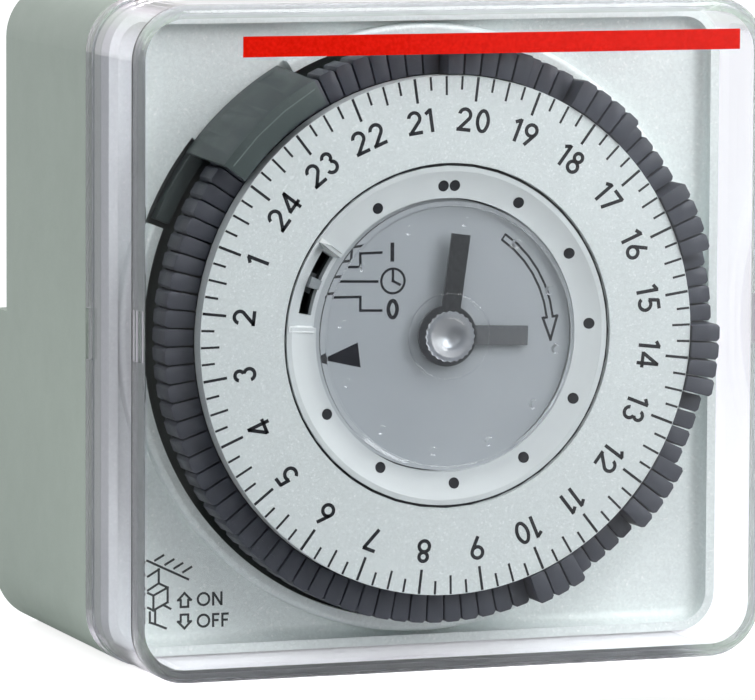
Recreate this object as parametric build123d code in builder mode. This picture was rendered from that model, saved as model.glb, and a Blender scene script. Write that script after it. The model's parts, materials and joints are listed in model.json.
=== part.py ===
from build123d import *
import os
from math import acos, atan2, cos, degrees, pi, radians, sin, tan

"""Square 24-hour time switch with captive trippers, millimetres.

X is the width, Y the depth (the front faces -Y) and Z the height. The origin is at the middle
of the bottom of the bounding box. Depths are counted backwards from the front of the cover.
Angles are counted anticlockwise from +X, as seen from the front.
"""

# --- overall ---
width = 72.0
total_depth = 51.0
corner_radius = 6.0
edge_rounding = 1.2
running_gap = 0.06
slide_gap = 0.12
cut_margin = 1.0

# --- clear cover ---
cover_depth = 16.8
cover_front_wall = 1.3
cover_side_wall = 1.6
rim_band_depth = 2.2
rim_band_height = 0.15
pry_notch_length = 5.5
pry_notch_depth = 1.0

# --- housing and terminal cover ---
body_wall = 1.8
body_seat_gap = 0.1
back_wall = 2.0
spigot_gap = 0.1
spigot_wall = 1.3
spigot_front = 13.5
chamber_depth = 19.5
partition_wall = 1.5
post_margin = 6.8
post_radius = 4.0
wall_screw_margin_x = 12.0
wall_screw_margin_z = 14.0
wall_screw_hole = 2.1
wall_boss_radius = 4.2
lid_wall = 2.0
lid_height = 35.4
lid_depth = 4.4
lid_screw_margin = 6.0
lid_screw_z = 6.0
cable_hole = 4.5
cable_hole_z = 9.5
chamber_inset = 2.0
chamber_corner = 2.0

# --- front plate ---
plate_front = 12.5
plate_thickness = 1.0
plate_rim_height = 1.9
plate_rim_width = 1.0
plate_cove = 1.3
plate_corner = 3.2
dish_margin = 4.4
collar_width = 1.4
collar_height = 1.7
collar_rounding = 0.6
bar_slot_lead = 3.0
bar_slot_tail = 1.2
collar_gap_lead = 1.5
finger_slot_half = 4.0
peg_margin = 10.0
peg_radius = 1.2

# --- chassis ---
chassis_seat_gap = 0.1
chassis_thickness = 2.0
chassis_gap = 0.3
screw_radius = 1.25
screw_head = 2.4
screw_length = 8.0
slot_length = 3.4
slot_width = 0.6
slot_depth = 0.7

# --- fixed middle of the dial ---
drum_radius = 18.42
drum_bore = 17.0
drum_floor = 5.4
drum_floor_thickness = 1.0
drum_base_radius = 21.6
drum_base_front = 8.8
ring_front = 2.9
ring_radius = 18.2
ring_bore = 14.75
ring_rim = 0.55
ring_dish = 0.6
ring_dish_bow = 0.75
window_start = 144.2
window_end = 175.3
window_floor = 4.4
window_edge = 0.35
slot_start = 145.5
slot_end = 170.5
flange_radius = 18.95
flange_front = 3.27
flange_back = 3.58
face_front = 4.9
face_radius = 14.6

# --- dial and trippers ---
dial_front = 2.7
dial_thickness = 1.0
dial_bore = 18.55
dial_lip = 1.0
dial_lip_depth = 2.05
dial_undercut = 0.55
dial_undercut_front = 3.15
dial_phase = 143.35
tripper_front = 4.8
tripper_depth = 4.2
tripper_travel = 2.5
tripper_length = 3.2
tripper_dial_gap = 0.1
tripper_dish_gap = 0.4
tripper_gap = 0.2
tripper_chamfer = 0.3
tripper_neck_length = 1.2
tripper_neck_depth = 1.6
tripper_neck_gap = 0.8
trippers_per_turn = 96
carrier_wall = 1.1
carrier_wall_gap = 0.2
carrier_flange_inset = 0.6
carrier_flange_thickness = 1.1
bearing_outer = 19.6
bearing_back = 6.7
gear_ring_outer = 21.5
gear_ring_wall = 1.0

# --- gears ---
clock_module = 0.3
drive_module = 0.4
pressure_angle = 25.0
addendum = 0.8
dedendum = 1.0
backlash = 0.1
centre_teeth = 15
middle_wheel_teeth = 45
middle_pinion_teeth = 12
hour_teeth = 48
drive_pinion_teeth = 12
drive_teeth = 24
ring_teeth = 96
motor_teeth = 10
middle_angle = 30.0
motor_direction = -80.0
drive_gear_front = 7.0
drive_gear_thickness = 1.6
hour_wheel_front = 9.6
hour_wheel_thickness = 0.8
middle_wheel_front = 11.4
middle_wheel_thickness = 0.9

# --- shafts, hands and setting disc ---
arbor_radius = 1.0
sleeve_radius = 1.9
middle_pin = 0.6
drive_pin = 0.8
drive_pin_head = 1.3
drive_hub = 1.6
drive_pin_head_depth = 0.58
motor_shaft = 0.75
knob_front = 2.0
knob_radius = 2.75
knob_knurls = 24
knurl_depth = 0.15
arbor_front = 2.6
disc_front = 2.5
disc_thickness = 0.8
disc_radius = 14.45
disc_bevel = 0.45
nub_radius = 0.55
nub_height = 0.35
nub_circle = 12.37
nub_count = 12
nub_taper = 25.0
hand_thickness = 0.3
hand_width = 2.1
hour_hand_front = 4.1
minute_hand_length = 10.95
hour_hand_length = 9.5
hand_hub = 3.3
hour_hand_hub = 2.7
minute_hand_angle = 82.0
hour_hand_angle = -2.0

# --- switching ---
mode_angle = 158.0
mode_travel = 7.5
mode_slot_spare = 1.0
mode_hub = 4.2
mode_boss = 2.5
mode_arm_width = 2.2
mode_arm_front = 6.55
mode_arm_thickness = 0.9
mode_slot_inner = 15.2
mode_slot_outer = 16.6
mode_knob_front = 3.7
mode_knob_half = 2.0
mode_leg_inner = 14.7
mode_leg_outer = 16.1
mode_leg_half = 3.0
mode_leg_end = 19.0
retainer_radius = 3.6
retainer_thickness = 0.4
hood_front = 1.75
hood_thickness = 0.45
hood_start = 119.5
hood_end = 143.5
hood_setback = 0.9
hood_overhang = 0.65
hood_slope = 1.05
hood_wall = 0.55
hood_back = 12.2
hood_front_bevel = 0.4
hood_front_fall = 0.1
nose_start = 126.2
nose_end = 130.6
nose_back = 6.5
nose_tip_half = 0.7
nose_clearance = 0.07
bar_inset = 2.0
bar_width = 1.6
bar_end = 157.3
bar_overlap = 2.0
bar_front = 11.5
bar_back = 13.3
lever_pivot_angle = 155.6
lever_pin_radius = 0.5
lever_pin_cap = 0.5
finger_size = 1.6
finger_angle = 123.0
finger_inset = 2.7
finger_root_front = 11.0
finger_root_half = 1.6
finger_overrun = 1.05
lever_swing = 3.4
switch_length = 19.8
switch_height = 9.6
switch_depth = 6.3
switch_boss = 1.4
plunger_radius = 0.7
plunger_gap = 0.12
plunger_proud = 1.15
plunger_bore = 4.0
plunger_rest = 0.9
plunger_rounding = 0.2
switch_rounding = 0.6
switch_screw_spacing = 9.5
tab_width = 3.0
tab_thickness = 0.5
tab_length = 3.8
tab_spacing = 7.0

# --- motor ---
motor_x = 3.0
motor_z = -6.0
gearbox_radius = 15.5
gearbox_depth = 6.4
rotor_radius = 13.0
motor_room = 2.3
motor_ear = 18.5
motor_ear_width = 6.0
motor_ear_thickness = 0.8

# --- small slotted screws of the motor, the switch and the terminals ---
pan_head = 2.1
pan_head_depth = 1.2
pan_shank = 1.2
pan_slot_width = 0.5
pan_slot_depth = 0.5

# --- terminals ---
terminal_count = 5
block_drop = 3.4
block_height = 11.0
block_depth = 12.0
block_rounding = 0.8
block_ear_margin = 5.0
block_ear_thickness = 3.0
block_screw_inset = 2.7
block_screw_room = 3.3
clamp_size = 5.4
clamp_setback = 3.0
clamp_depth = 5.0
clamp_gap = 0.2
wire_entry = 1.7
screw_well = 2.4
terminal_head_depth = 2.0
terminal_shank_length = 1.2
terminal_slot_width = 0.7
terminal_slot_depth = 0.8
lead_size = 1.0
lead_clearance = 0.4
lead_partition_gap = 1.1
lead_jog = 1.6
motor_lead_rise = 3.0
motor_lead_inset = 2.0

half_width = width / 2
half_depth = total_depth / 2
dial_axis = Axis((0, 0, half_width), (0, -1, 0))

# depths, from the front of the cover backwards
chassis_front = plate_front + plate_thickness + chassis_seat_gap
chassis_back = chassis_front + chassis_thickness
body_front = cover_depth + body_seat_gap
body_back = total_depth - lid_depth
partition_front = total_depth - chamber_depth
block_front = partition_front + partition_wall
clamp_front = block_front + clamp_setback
lead_depth = partition_front - lead_partition_gap
motor_depth = partition_front - chassis_back - motor_room
switch_front = chassis_back + switch_boss
switch_middle = switch_front + switch_depth / 2
finger_back = switch_middle + finger_overrun

# places across the front, from the edges of the casing inwards
plate_width = width - 2 * cover_side_wall - 2 * spigot_gap
post_offset = half_width - post_margin
peg_offset = half_width - peg_margin
wall_screw_x = half_width - wall_screw_margin_x
wall_screw_z = half_width - wall_screw_margin_z
lid_screw_x = half_width - lid_screw_margin
block_ear = half_width - block_ear_margin
block_screw_x = block_ear - block_screw_inset
block_length = 2 * (block_screw_x - block_screw_room)
block_top = lid_height - block_drop
terminal_pitch = block_length / terminal_count

# radii of the dial, from its dish inwards, and of the lever that lies over its rim
dish_radius = half_width - dish_margin
tripper_outer = dish_radius - tripper_dish_gap
tripper_inner = tripper_outer - tripper_length
dial_radius = tripper_inner - tripper_dial_gap
tripper_neck_inner = dial_radius - tripper_neck_length
carrier_wall_outer = tripper_neck_inner - carrier_wall_gap
carrier_wall_inner = carrier_wall_outer - carrier_wall
carrier_flange = tripper_outer - carrier_flange_inset
hood_inner = tripper_inner + hood_setback
hood_crease = tripper_outer + hood_overhang
hood_foot = hood_crease + hood_slope
bar_inner = hood_foot - bar_inset
bar_outer = bar_inner + bar_width
lever_pivot_radius = (bar_inner + bar_outer) / 2
finger_radius = hood_foot - finger_inset


def polar(radius, angle):
    """Give the X and Z of a point of the dial, counted from its centre."""
    return (radius * cos(radians(angle)), radius * sin(radians(angle)))


def facing(depth):
    """Give the plane at a depth that looks forwards, centred on the dial."""
    return Plane((0, depth - half_depth, half_width), x_dir=(1, 0, 0), z_dir=(0, -1, 0))


def section(angle):
    """Give the half plane of the dial axis at an angle: local x is the radius, y the depth."""
    a = radians(angle)
    return Plane((0, -half_depth, half_width), x_dir=(cos(a), 0, sin(a)), z_dir=(-sin(a), 0, cos(a)))


def sector(inner, outer, start, end):
    """Give the face of the dial's plane between two radii and two angles."""
    with BuildSketch(Plane.XY) as shape:
        with BuildLine():
            rim = CenterArc((0, 0), outer, start, end - start)
            bore = CenterArc((0, 0), inner, start, end - start)
            Line(rim @ 0, bore @ 0)
            Line(rim @ 1, bore @ 1)
        make_face()
    return shape.sketch


def tooth_half_angle(radius, teeth, module):
    """Give half the angle, in radians, that an involute tooth fills at a radius."""
    pitch_radius = module * teeth / 2
    base = pitch_radius * cos(radians(pressure_angle))

    def involute(r):
        a = acos(min(1.0, base / r))
        return tan(a) - a

    return pi / (2 * teeth) * (1 - backlash) + involute(pitch_radius) - involute(max(radius, base))


def gear_points(teeth, module, phase, grow=1.0):
    """Give a gear's outline. A grow of -1 gives the outline of an internal gear's hole."""
    pitch_radius = module * teeth / 2
    low = pitch_radius - module * (dedendum if grow > 0 else addendum)
    high = pitch_radius + module * (addendum if grow > 0 else dedendum)
    points = []
    for i in range(teeth):
        middle = radians(phase + 360 * i / teeth)
        flank = [(r, tooth_half_angle(r, teeth, module)) for r in (low, pitch_radius, high)]
        if grow < 0:
            flank = [(r, a + 2 * backlash * pi / (2 * teeth)) for r, a in flank]
        for r, a in flank:
            points.append((r * cos(middle - a), r * sin(middle - a)))
        for r, a in reversed(flank):
            points.append((r * cos(middle + a), r * sin(middle + a)))
    return points


def mate_phase(phase, teeth, direction, mate_teeth, internal=False):
    """Give the phase of the gear that meshes with another, which lies in a direction from it."""
    pitch = 360 / teeth
    lead = (direction - phase) % pitch
    if internal:
        return direction - lead * teeth / mate_teeth
    return direction + 180 + lead * teeth / mate_teeth + 180 / mate_teeth


os.makedirs("parts", exist_ok=True)

# gear centres, from the centre distances of the meshing pairs
middle_distance = clock_module * (centre_teeth + middle_wheel_teeth) / 2
drive_distance = drive_module * (drive_pinion_teeth + drive_teeth) / 2
drive_circle = drive_module * (ring_teeth - drive_teeth) / 2
cosine = (middle_distance**2 + drive_circle**2 - drive_distance**2) / (2 * middle_distance * drive_circle)
drive_angle = middle_angle - degrees(acos(cosine))
middle_centre = polar(middle_distance, middle_angle)
drive_centre = polar(drive_circle, drive_angle)
motor_distance = clock_module * (middle_wheel_teeth + motor_teeth) / 2
motor_offset = polar(motor_distance, motor_direction)
motor_centre = (middle_centre[0] + motor_offset[0], middle_centre[1] + motor_offset[1])
drive_offset = (drive_centre[0] - middle_centre[0], drive_centre[1] - middle_centre[1])
drive_direction = degrees(atan2(drive_offset[1], drive_offset[0]))

# gear phases, each taken from the gear that it meshes with
centre_phase = 0.0
middle_phase = mate_phase(centre_phase, centre_teeth, middle_angle, middle_wheel_teeth)
hour_phase = mate_phase(middle_phase, middle_pinion_teeth, middle_angle + 180, hour_teeth)
drive_phase = mate_phase(middle_phase, drive_pinion_teeth, drive_direction, drive_teeth)
ring_phase = mate_phase(drive_phase, drive_teeth, drive_angle, ring_teeth, internal=True)
motor_phase = mate_phase(middle_phase, middle_wheel_teeth, motor_direction, motor_teeth)

# =============================== casing ===============================

inner_cover = width - 2 * cover_side_wall
with BuildPart() as clear_cover:
    with BuildSketch(facing(cover_depth)):
        RectangleRounded(width - 2 * rim_band_height, width - 2 * rim_band_height, corner_radius)
    extrude(amount=cover_depth)
    fillet(clear_cover.faces().sort_by(Axis.Y)[0].edges(), edge_rounding)
    with BuildSketch(facing(cover_depth)):
        RectangleRounded(width, width, corner_radius)
    extrude(amount=rim_band_depth)
    with BuildSketch(facing(cover_depth)):
        RectangleRounded(inner_cover, inner_cover, corner_radius - cover_side_wall)
    extrude(amount=cover_depth - cover_front_wall, mode=Mode.SUBTRACT)
    with BuildSketch(facing(cover_depth)):
        Rectangle(width + cut_margin, pry_notch_length)
        Rectangle(inner_cover - cut_margin, pry_notch_length, mode=Mode.SUBTRACT)
    extrude(amount=pry_notch_depth, mode=Mode.SUBTRACT)
clear_cover.part.label = "clear_cover"
export_step(clear_cover.part, "parts/clear_cover.step")

spigot_width = inner_cover - 2 * spigot_gap
cavity_width = spigot_width - 2 * spigot_wall
chamber_height = lid_height - 2 * body_wall
chamber_top = lid_height - half_width
chamber_block = chamber_top + cavity_width / 2
with BuildPart() as housing:
    with BuildSketch(facing(body_back)):
        RectangleRounded(width, width, corner_radius)
    extrude(amount=body_back - body_front)
    with BuildSketch(facing(body_front)):
        RectangleRounded(spigot_width, spigot_width, corner_radius - cover_side_wall - spigot_gap)
    extrude(amount=body_front - spigot_front)
    with BuildSketch(facing(body_back - back_wall)):
        RectangleRounded(cavity_width, cavity_width, corner_radius - 2 * spigot_wall)
    extrude(amount=body_back - back_wall - spigot_front, mode=Mode.SUBTRACT)
    # the block that holds the terminal chamber, and the chamber, open at the back
    with BuildSketch(facing(body_back)):
        with Locations((0, chamber_top - chamber_block / 2)):
            Rectangle(cavity_width, chamber_block)
    extrude(amount=body_back - partition_front)
    with BuildSketch(facing(body_back)):
        with Locations((0, -half_width + body_wall + chamber_height / 2)):
            RectangleRounded(cavity_width - chamber_inset, chamber_height, chamber_corner)
    extrude(amount=body_back - partition_front - partition_wall, mode=Mode.SUBTRACT)
    # posts that carry the chassis, and the bosses of the wall screws
    with BuildSketch(facing(body_back - back_wall)):
        with Locations((post_offset, post_offset), (-post_offset, post_offset)):
            Circle(post_radius)
    extrude(amount=body_back - back_wall - chassis_back)
    with BuildSketch(facing(partition_front)):
        with Locations((post_offset, -post_offset), (-post_offset, -post_offset)):
            Circle(post_radius)
    extrude(amount=partition_front - chassis_back)
    with BuildSketch(facing(total_depth)):
        with Locations((wall_screw_x, wall_screw_z), (-wall_screw_x, wall_screw_z)):
            Circle(wall_boss_radius)
    extrude(amount=total_depth - body_back + back_wall)
    with BuildSketch(facing(total_depth)):
        with Locations((wall_screw_x, wall_screw_z), (-wall_screw_x, wall_screw_z)):
            Circle(wall_screw_hole)
    extrude(amount=total_depth - body_back + back_wall, mode=Mode.SUBTRACT)
    with BuildSketch(facing(chassis_back + screw_length)):
        with GridLocations(2 * post_offset, 2 * post_offset, 2, 2):
            Circle(screw_radius)
    extrude(amount=screw_length, mode=Mode.SUBTRACT)
    # holes for the lid's screws, the leads and the screws of the terminal block
    with BuildSketch(facing(body_back)):
        with Locations((lid_screw_x, lid_screw_z - half_width), (-lid_screw_x, lid_screw_z - half_width)):
            Circle(post_radius)
    extrude(amount=body_back - partition_front)
    with BuildSketch(facing(body_back)):
        with Locations((lid_screw_x, lid_screw_z - half_width), (-lid_screw_x, lid_screw_z - half_width)):
            Circle(screw_radius)
    extrude(amount=screw_length, mode=Mode.SUBTRACT)
    block_middle = block_top - block_height / 2 - half_width
    with BuildSketch(facing(block_front)):
        with Locations((0, block_middle)):
            with GridLocations(terminal_pitch, 1, terminal_count, 1):
                Rectangle(lead_size + lead_clearance, lead_size + lead_clearance)
        with Locations((block_screw_x, block_middle), (-block_screw_x, block_middle)):
            Circle(pan_shank)
    extrude(amount=partition_wall, mode=Mode.SUBTRACT)
housing.part.label = "housing"
export_step(housing.part, "parts/housing.step")

with BuildPart() as terminal_cover:
    with BuildSketch(facing(total_depth)):
        RectangleRounded(width, width, corner_radius)
        with Locations((0, lid_height)):
            Rectangle(width, width, mode=Mode.SUBTRACT)
    extrude(amount=total_depth - body_back)
    with BuildSketch(facing(total_depth - lid_wall)):
        with Locations((0, -half_width + lid_height / 2)):
            RectangleRounded(width - 2 * lid_wall, lid_height - 2 * lid_wall, corner_radius - lid_wall)
    extrude(amount=total_depth - lid_wall - body_back, mode=Mode.SUBTRACT)
    with BuildSketch(facing(total_depth)):
        with Locations((lid_screw_x, lid_screw_z - half_width), (-lid_screw_x, lid_screw_z - half_width)):
            Circle(post_radius)
    extrude(amount=total_depth - body_back)
    with BuildSketch(facing(total_depth)):
        with Locations((lid_screw_x, lid_screw_z - half_width), (-lid_screw_x, lid_screw_z - half_width)):
            Circle(screw_radius)
        with Locations((0, cable_hole_z - half_width)):
            Circle(cable_hole)
    extrude(amount=total_depth - body_back, mode=Mode.SUBTRACT)
    with BuildSketch(facing(total_depth)):
        with Locations((lid_screw_x, lid_screw_z - half_width), (-lid_screw_x, lid_screw_z - half_width)):
            Circle(screw_head)
    extrude(amount=screw_radius, mode=Mode.SUBTRACT)
terminal_cover.part.label = "terminal_cover"
export_step(terminal_cover.part, "parts/terminal_cover.step")

with BuildPart() as terminal_cover_screws:
    with BuildSketch(facing(total_depth)):
        with Locations((lid_screw_x, lid_screw_z - half_width), (-lid_screw_x, lid_screw_z - half_width)):
            Circle(screw_head - slide_gap)
    extrude(amount=screw_radius)
    with BuildSketch(facing(total_depth)):
        with Locations((lid_screw_x, lid_screw_z - half_width), (-lid_screw_x, lid_screw_z - half_width)):
            Circle(screw_radius)
    extrude(amount=total_depth - body_back + screw_length)
    with BuildSketch(facing(total_depth)):
        with Locations((lid_screw_x, lid_screw_z - half_width), (-lid_screw_x, lid_screw_z - half_width)):
            Rectangle(slot_length, slot_width)
            Rectangle(slot_width, slot_length)
    extrude(amount=slot_depth, mode=Mode.SUBTRACT)
terminal_cover_screws.part.label = "terminal_cover_screws"
export_step(terminal_cover_screws.part, "parts/terminal_cover_screws.step")

# =============================== front plate and chassis ===============================

collar_outer = dish_radius + collar_width
lever_gap_start = hood_start - collar_gap_lead
lever_gap_end = bar_end + bar_slot_tail
finger_x, finger_z = polar(finger_radius, finger_angle)
pivot_x, pivot_z = polar(lever_pivot_radius, lever_pivot_angle)
lever_throw = radians(lever_swing)
finger_shift = (finger_z - pivot_z) * lever_throw
finger_lift = (finger_x - pivot_x) * lever_throw
finger_slot_outer = finger_radius + finger_size / 2 + finger_lift + finger_shift
with BuildPart() as front_plate:
    with BuildSketch(facing(plate_front + plate_thickness)):
        RectangleRounded(plate_width, plate_width, corner_radius - cover_side_wall - spigot_gap)
    extrude(amount=plate_thickness + plate_rim_height)
    with BuildSketch(facing(plate_front)):
        RectangleRounded(plate_width - 2 * plate_rim_width, plate_width - 2 * plate_rim_width, plate_corner)
    extrude(amount=plate_rim_height, mode=Mode.SUBTRACT)
    floor_edges = front_plate.edges().filter_by(
        lambda e: abs(e.center().Y - (plate_front - half_depth)) < 0.01 and e.length < plate_width - 1
    )
    fillet(floor_edges, plate_cove)
    with BuildSketch(facing(plate_front)):
        Circle(collar_outer)
    extrude(amount=collar_height)
    collar_edges = front_plate.faces().filter_by(Axis.Y).filter_by(
        lambda f: abs(f.center().Y - (plate_front - collar_height - half_depth)) < 0.01
    ).edges()
    fillet(collar_edges, collar_rounding)
    with BuildSketch(facing(plate_front + plate_thickness)):
        Circle(dish_radius)
    extrude(amount=plate_thickness + plate_rim_height, mode=Mode.SUBTRACT)
    # the collar stops where the trip lever lies
    with BuildSketch(facing(plate_front)):
        add(sector(dish_radius - cut_margin, collar_outer + cut_margin, lever_gap_start, lever_gap_end))
    extrude(amount=collar_height, mode=Mode.SUBTRACT)
    # slots for the bar and the finger of the trip lever
    with BuildSketch(facing(plate_front + plate_thickness)):
        slot_inner = dish_radius - cut_margin
        add(sector(slot_inner, hood_foot + chassis_gap, hood_end - bar_slot_lead, lever_gap_end))
        finger_slot_start = finger_angle - finger_slot_half
        add(sector(slot_inner, finger_slot_outer, finger_slot_start, finger_angle + finger_slot_half))
    extrude(amount=plate_thickness, mode=Mode.SUBTRACT)
    # pegs that press into the chassis
    with BuildSketch(facing(chassis_back)):
        with GridLocations(2 * peg_offset, 2 * peg_offset, 2, 2):
            Circle(peg_radius)
    extrude(amount=chassis_back - plate_front - plate_thickness / 2)
front_plate.part.label = "front_plate"
export_step(front_plate.part, "parts/front_plate.step")

switch_top = finger_z - finger_size / 2 - plunger_gap - plunger_proud
switch_z = switch_top - switch_height / 2
switch_screws_at = (
    (finger_x - switch_screw_spacing / 2, switch_z),
    (finger_x + switch_screw_spacing / 2, switch_z),
)
motor_ears_at = ((motor_x - motor_ear, motor_z), (motor_x + motor_ear, motor_z))
mode_slot_half = mode_travel + mode_leg_half + mode_slot_spare
finger_hole = finger_size + max(finger_lift, finger_shift) + 2 * chassis_gap
chassis_width = cavity_width - 2 * chassis_gap
with BuildPart() as chassis:
    with BuildSketch(facing(chassis_back)):
        RectangleRounded(chassis_width, chassis_width, corner_radius - 2 * spigot_wall - chassis_gap)
    extrude(amount=chassis_thickness)
    with BuildSketch(facing(switch_front)):
        with Locations(*switch_screws_at):
            Circle(pan_head)
    extrude(amount=switch_boss)
    with BuildSketch(facing(switch_front)):
        with Locations(*switch_screws_at, *motor_ears_at):
            Circle(pan_shank)
        Circle(arbor_radius + running_gap)
        with Locations(motor_centre):
            Circle(motor_shaft + running_gap)
        with Locations(middle_centre):
            Circle(middle_pin)
        with Locations((pivot_x, pivot_z)):
            Circle(lever_pin_radius)
        with GridLocations(2 * post_offset, 2 * post_offset, 2, 2):
            Circle(screw_radius)
        with GridLocations(2 * peg_offset, 2 * peg_offset, 2, 2):
            Circle(peg_radius)
        with Locations((finger_x - finger_shift / 2, finger_z + finger_lift / 2)):
            Rectangle(finger_hole, finger_hole)
        add(
            sector(
                mode_leg_inner - chassis_gap,
                mode_leg_outer + chassis_gap,
                mode_angle - mode_slot_half,
                mode_angle + mode_slot_half,
            )
        )
    extrude(amount=switch_front - chassis_front, mode=Mode.SUBTRACT)
    with BuildSketch(facing(chassis_front + screw_radius)):
        with GridLocations(2 * post_offset, 2 * post_offset, 2, 2):
            Circle(screw_head)
    extrude(amount=screw_radius, mode=Mode.SUBTRACT)
chassis.part.label = "chassis"
export_step(chassis.part, "parts/chassis.step")

with BuildPart() as chassis_screws:
    with BuildSketch(facing(chassis_front + screw_radius)):
        with GridLocations(2 * post_offset, 2 * post_offset, 2, 2):
            Circle(screw_head - slide_gap)
    extrude(amount=screw_radius)
    with BuildSketch(facing(chassis_back + screw_length)):
        with GridLocations(2 * post_offset, 2 * post_offset, 2, 2):
            Circle(screw_radius)
    extrude(amount=chassis_thickness - screw_radius + screw_length)
    with BuildSketch(facing(chassis_front)):
        with GridLocations(2 * post_offset, 2 * post_offset, 2, 2):
            Rectangle(slot_length, slot_width)
            Rectangle(slot_width, slot_length)
    extrude(amount=-slot_depth, mode=Mode.SUBTRACT)
chassis_screws.part.label = "chassis_screws"
export_step(chassis_screws.part, "parts/chassis_screws.step")

# =============================== fixed middle of the dial ===============================

floor_back = drum_floor + drum_floor_thickness
boss_back = floor_back + mode_arm_thickness + 2 * slide_gap + retainer_thickness
sleeve_bore = sleeve_radius + running_gap
with BuildPart() as centre_drum:
    with BuildSketch(section(0)):
        Polygon(
            (sleeve_bore, drum_floor),
            (drum_radius, drum_floor),
            (drum_radius, drum_base_front),
            (drum_base_radius, drum_base_front),
            (drum_base_radius, chassis_front),
            (drum_bore, chassis_front),
            (drum_bore, floor_back),
            (mode_boss, floor_back),
            (mode_boss, boss_back),
            (sleeve_bore, boss_back),
            align=None,
        )
    revolve(axis=dial_axis)
    with BuildSketch(facing(floor_back)):
        add(sector(mode_slot_inner, mode_slot_outer, slot_start, slot_end))
        with Locations(middle_centre):
            Circle(middle_pin)
        with Locations(drive_centre):
            Circle(drive_pin)
    extrude(amount=drum_floor_thickness, mode=Mode.SUBTRACT)
    # window through which the drive gear reaches the dial's ring gear
    with BuildSketch(facing(drum_base_front)):
        with Locations(drive_centre):
            Circle(drive_module * (drive_teeth / 2 + addendum) + chassis_gap)
    extrude(amount=drum_base_front - floor_back, mode=Mode.SUBTRACT)
centre_drum.part.label = "centre_drum"
export_step(centre_drum.part, "parts/centre_drum.step")

with BuildPart() as clock_ring:
    with BuildSketch(section(0)):
        with BuildLine():
            Polyline(
                (ring_bore, ring_front + ring_dish),
                (ring_bore, drum_floor),
                (ring_radius, drum_floor),
                (ring_radius, flange_back),
                (flange_radius, flange_back),
                (flange_radius, flange_front),
                (ring_radius, flange_front),
                (ring_radius, ring_front),
                (ring_radius - ring_rim, ring_front),
            )
            ThreePointArc(
                (ring_radius - ring_rim, ring_front),
                ((ring_bore + ring_radius - ring_rim) / 2, ring_front + ring_dish_bow * ring_dish),
                (ring_bore, ring_front + ring_dish),
            )
        make_face()
    revolve(axis=dial_axis)
    with BuildSketch(facing(window_floor)):
        add(sector(ring_bore - cut_margin, ring_radius - window_edge, window_start, window_end))
    extrude(amount=window_floor - ring_front, mode=Mode.SUBTRACT)
    with BuildSketch(facing(drum_floor)):
        add(sector(mode_slot_inner, mode_slot_outer, slot_start, slot_end))
    extrude(amount=drum_floor - ring_front, mode=Mode.SUBTRACT)
clock_ring.part.label = "clock_ring"
export_step(clock_ring.part, "parts/clock_ring.step")

with BuildPart() as clock_face:
    with BuildSketch(facing(drum_floor)):
        Circle(face_radius)
        Circle(sleeve_bore, mode=Mode.SUBTRACT)
    extrude(amount=drum_floor - face_front)
clock_face.part.label = "clock_face"
export_step(clock_face.part, "parts/clock_face.step")

with BuildPart() as mode_retainer:
    with BuildSketch(facing(boss_back)):
        Circle(retainer_radius)
        Circle(mode_boss, mode=Mode.SUBTRACT)
    extrude(amount=retainer_thickness)
mode_retainer.part.label = "mode_retainer"
export_step(mode_retainer.part, "parts/mode_retainer.step")

# =============================== dial and trippers ===============================

dial_back = dial_front + dial_thickness
web_back = dial_back + dial_thickness
lip_back = dial_front + dial_lip_depth
with BuildPart() as dial_ring:
    with BuildSketch(section(0)):
        Polygon(
            (dial_bore, dial_front),
            (dial_radius, dial_front),
            (dial_radius, lip_back),
            (dial_radius - dial_lip, lip_back),
            (dial_radius - dial_lip, dial_back),
            (dial_bore + dial_undercut, dial_back),
            (dial_bore + dial_undercut, dial_undercut_front),
            (dial_bore, dial_undercut_front),
            align=None,
        )
    revolve(axis=dial_axis)
dial_ring.part.label = "dial_ring"
export_step(dial_ring.part, "parts/dial_ring.step")

rest_front = tripper_front + tripper_depth + slide_gap
rest_back = rest_front + carrier_flange_thickness
ring_gear_back = drive_gear_front + drive_gear_thickness
with BuildPart() as dial_carrier:
    with BuildSketch(section(0)):
        Polygon(
            (drum_radius + running_gap, dial_back),
            (carrier_wall_outer, dial_back),
            (carrier_wall_outer, rest_front),
            (carrier_flange, rest_front),
            (carrier_flange, rest_back),
            (carrier_wall_inner, rest_back),
            (carrier_wall_inner, web_back),
            (bearing_outer, web_back),
            (bearing_outer, bearing_back),
            (drum_radius + running_gap, bearing_back),
            align=None,
        )
    revolve(axis=dial_axis)
    with BuildSketch(facing(ring_gear_back)):
        Circle(gear_ring_outer)
        Polygon(*gear_points(ring_teeth, drive_module, ring_phase, grow=-1), align=None, mode=Mode.SUBTRACT)
    extrude(amount=drive_gear_thickness)
    with BuildSketch(facing(drive_gear_front)):
        Circle(gear_ring_outer)
        Circle(gear_ring_outer - gear_ring_wall, mode=Mode.SUBTRACT)
    extrude(amount=drive_gear_front - web_back)
dial_carrier.part.label = "dial_carrier"
export_step(dial_carrier.part, "parts/dial_carrier.step")

# start of each group in quarters of an hour, its count and whether it is pulled out
tripper_groups = (
    (0, 5, False), (5, 5, False), (10, 5, False), (15, 5, False), (20, 5, False), (25, 5, False),
    (30, 5, False), (35, 4, False), (39, 3, True), (42, 4, False), (46, 4, True), (50, 4, False),
    (54, 4, True), (58, 4, False), (62, 4, True), (66, 4, False), (70, 4, True), (74, 3, False),
    (77, 5, True), (82, 5, False), (87, 4, False), (91, 2, False), (93, 3, False),
)
tripper_step = 360 / trippers_per_turn
tripper_half_angle = radians(tripper_step / 2)
neck_half = (tripper_step - tripper_neck_gap) / 2


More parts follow.
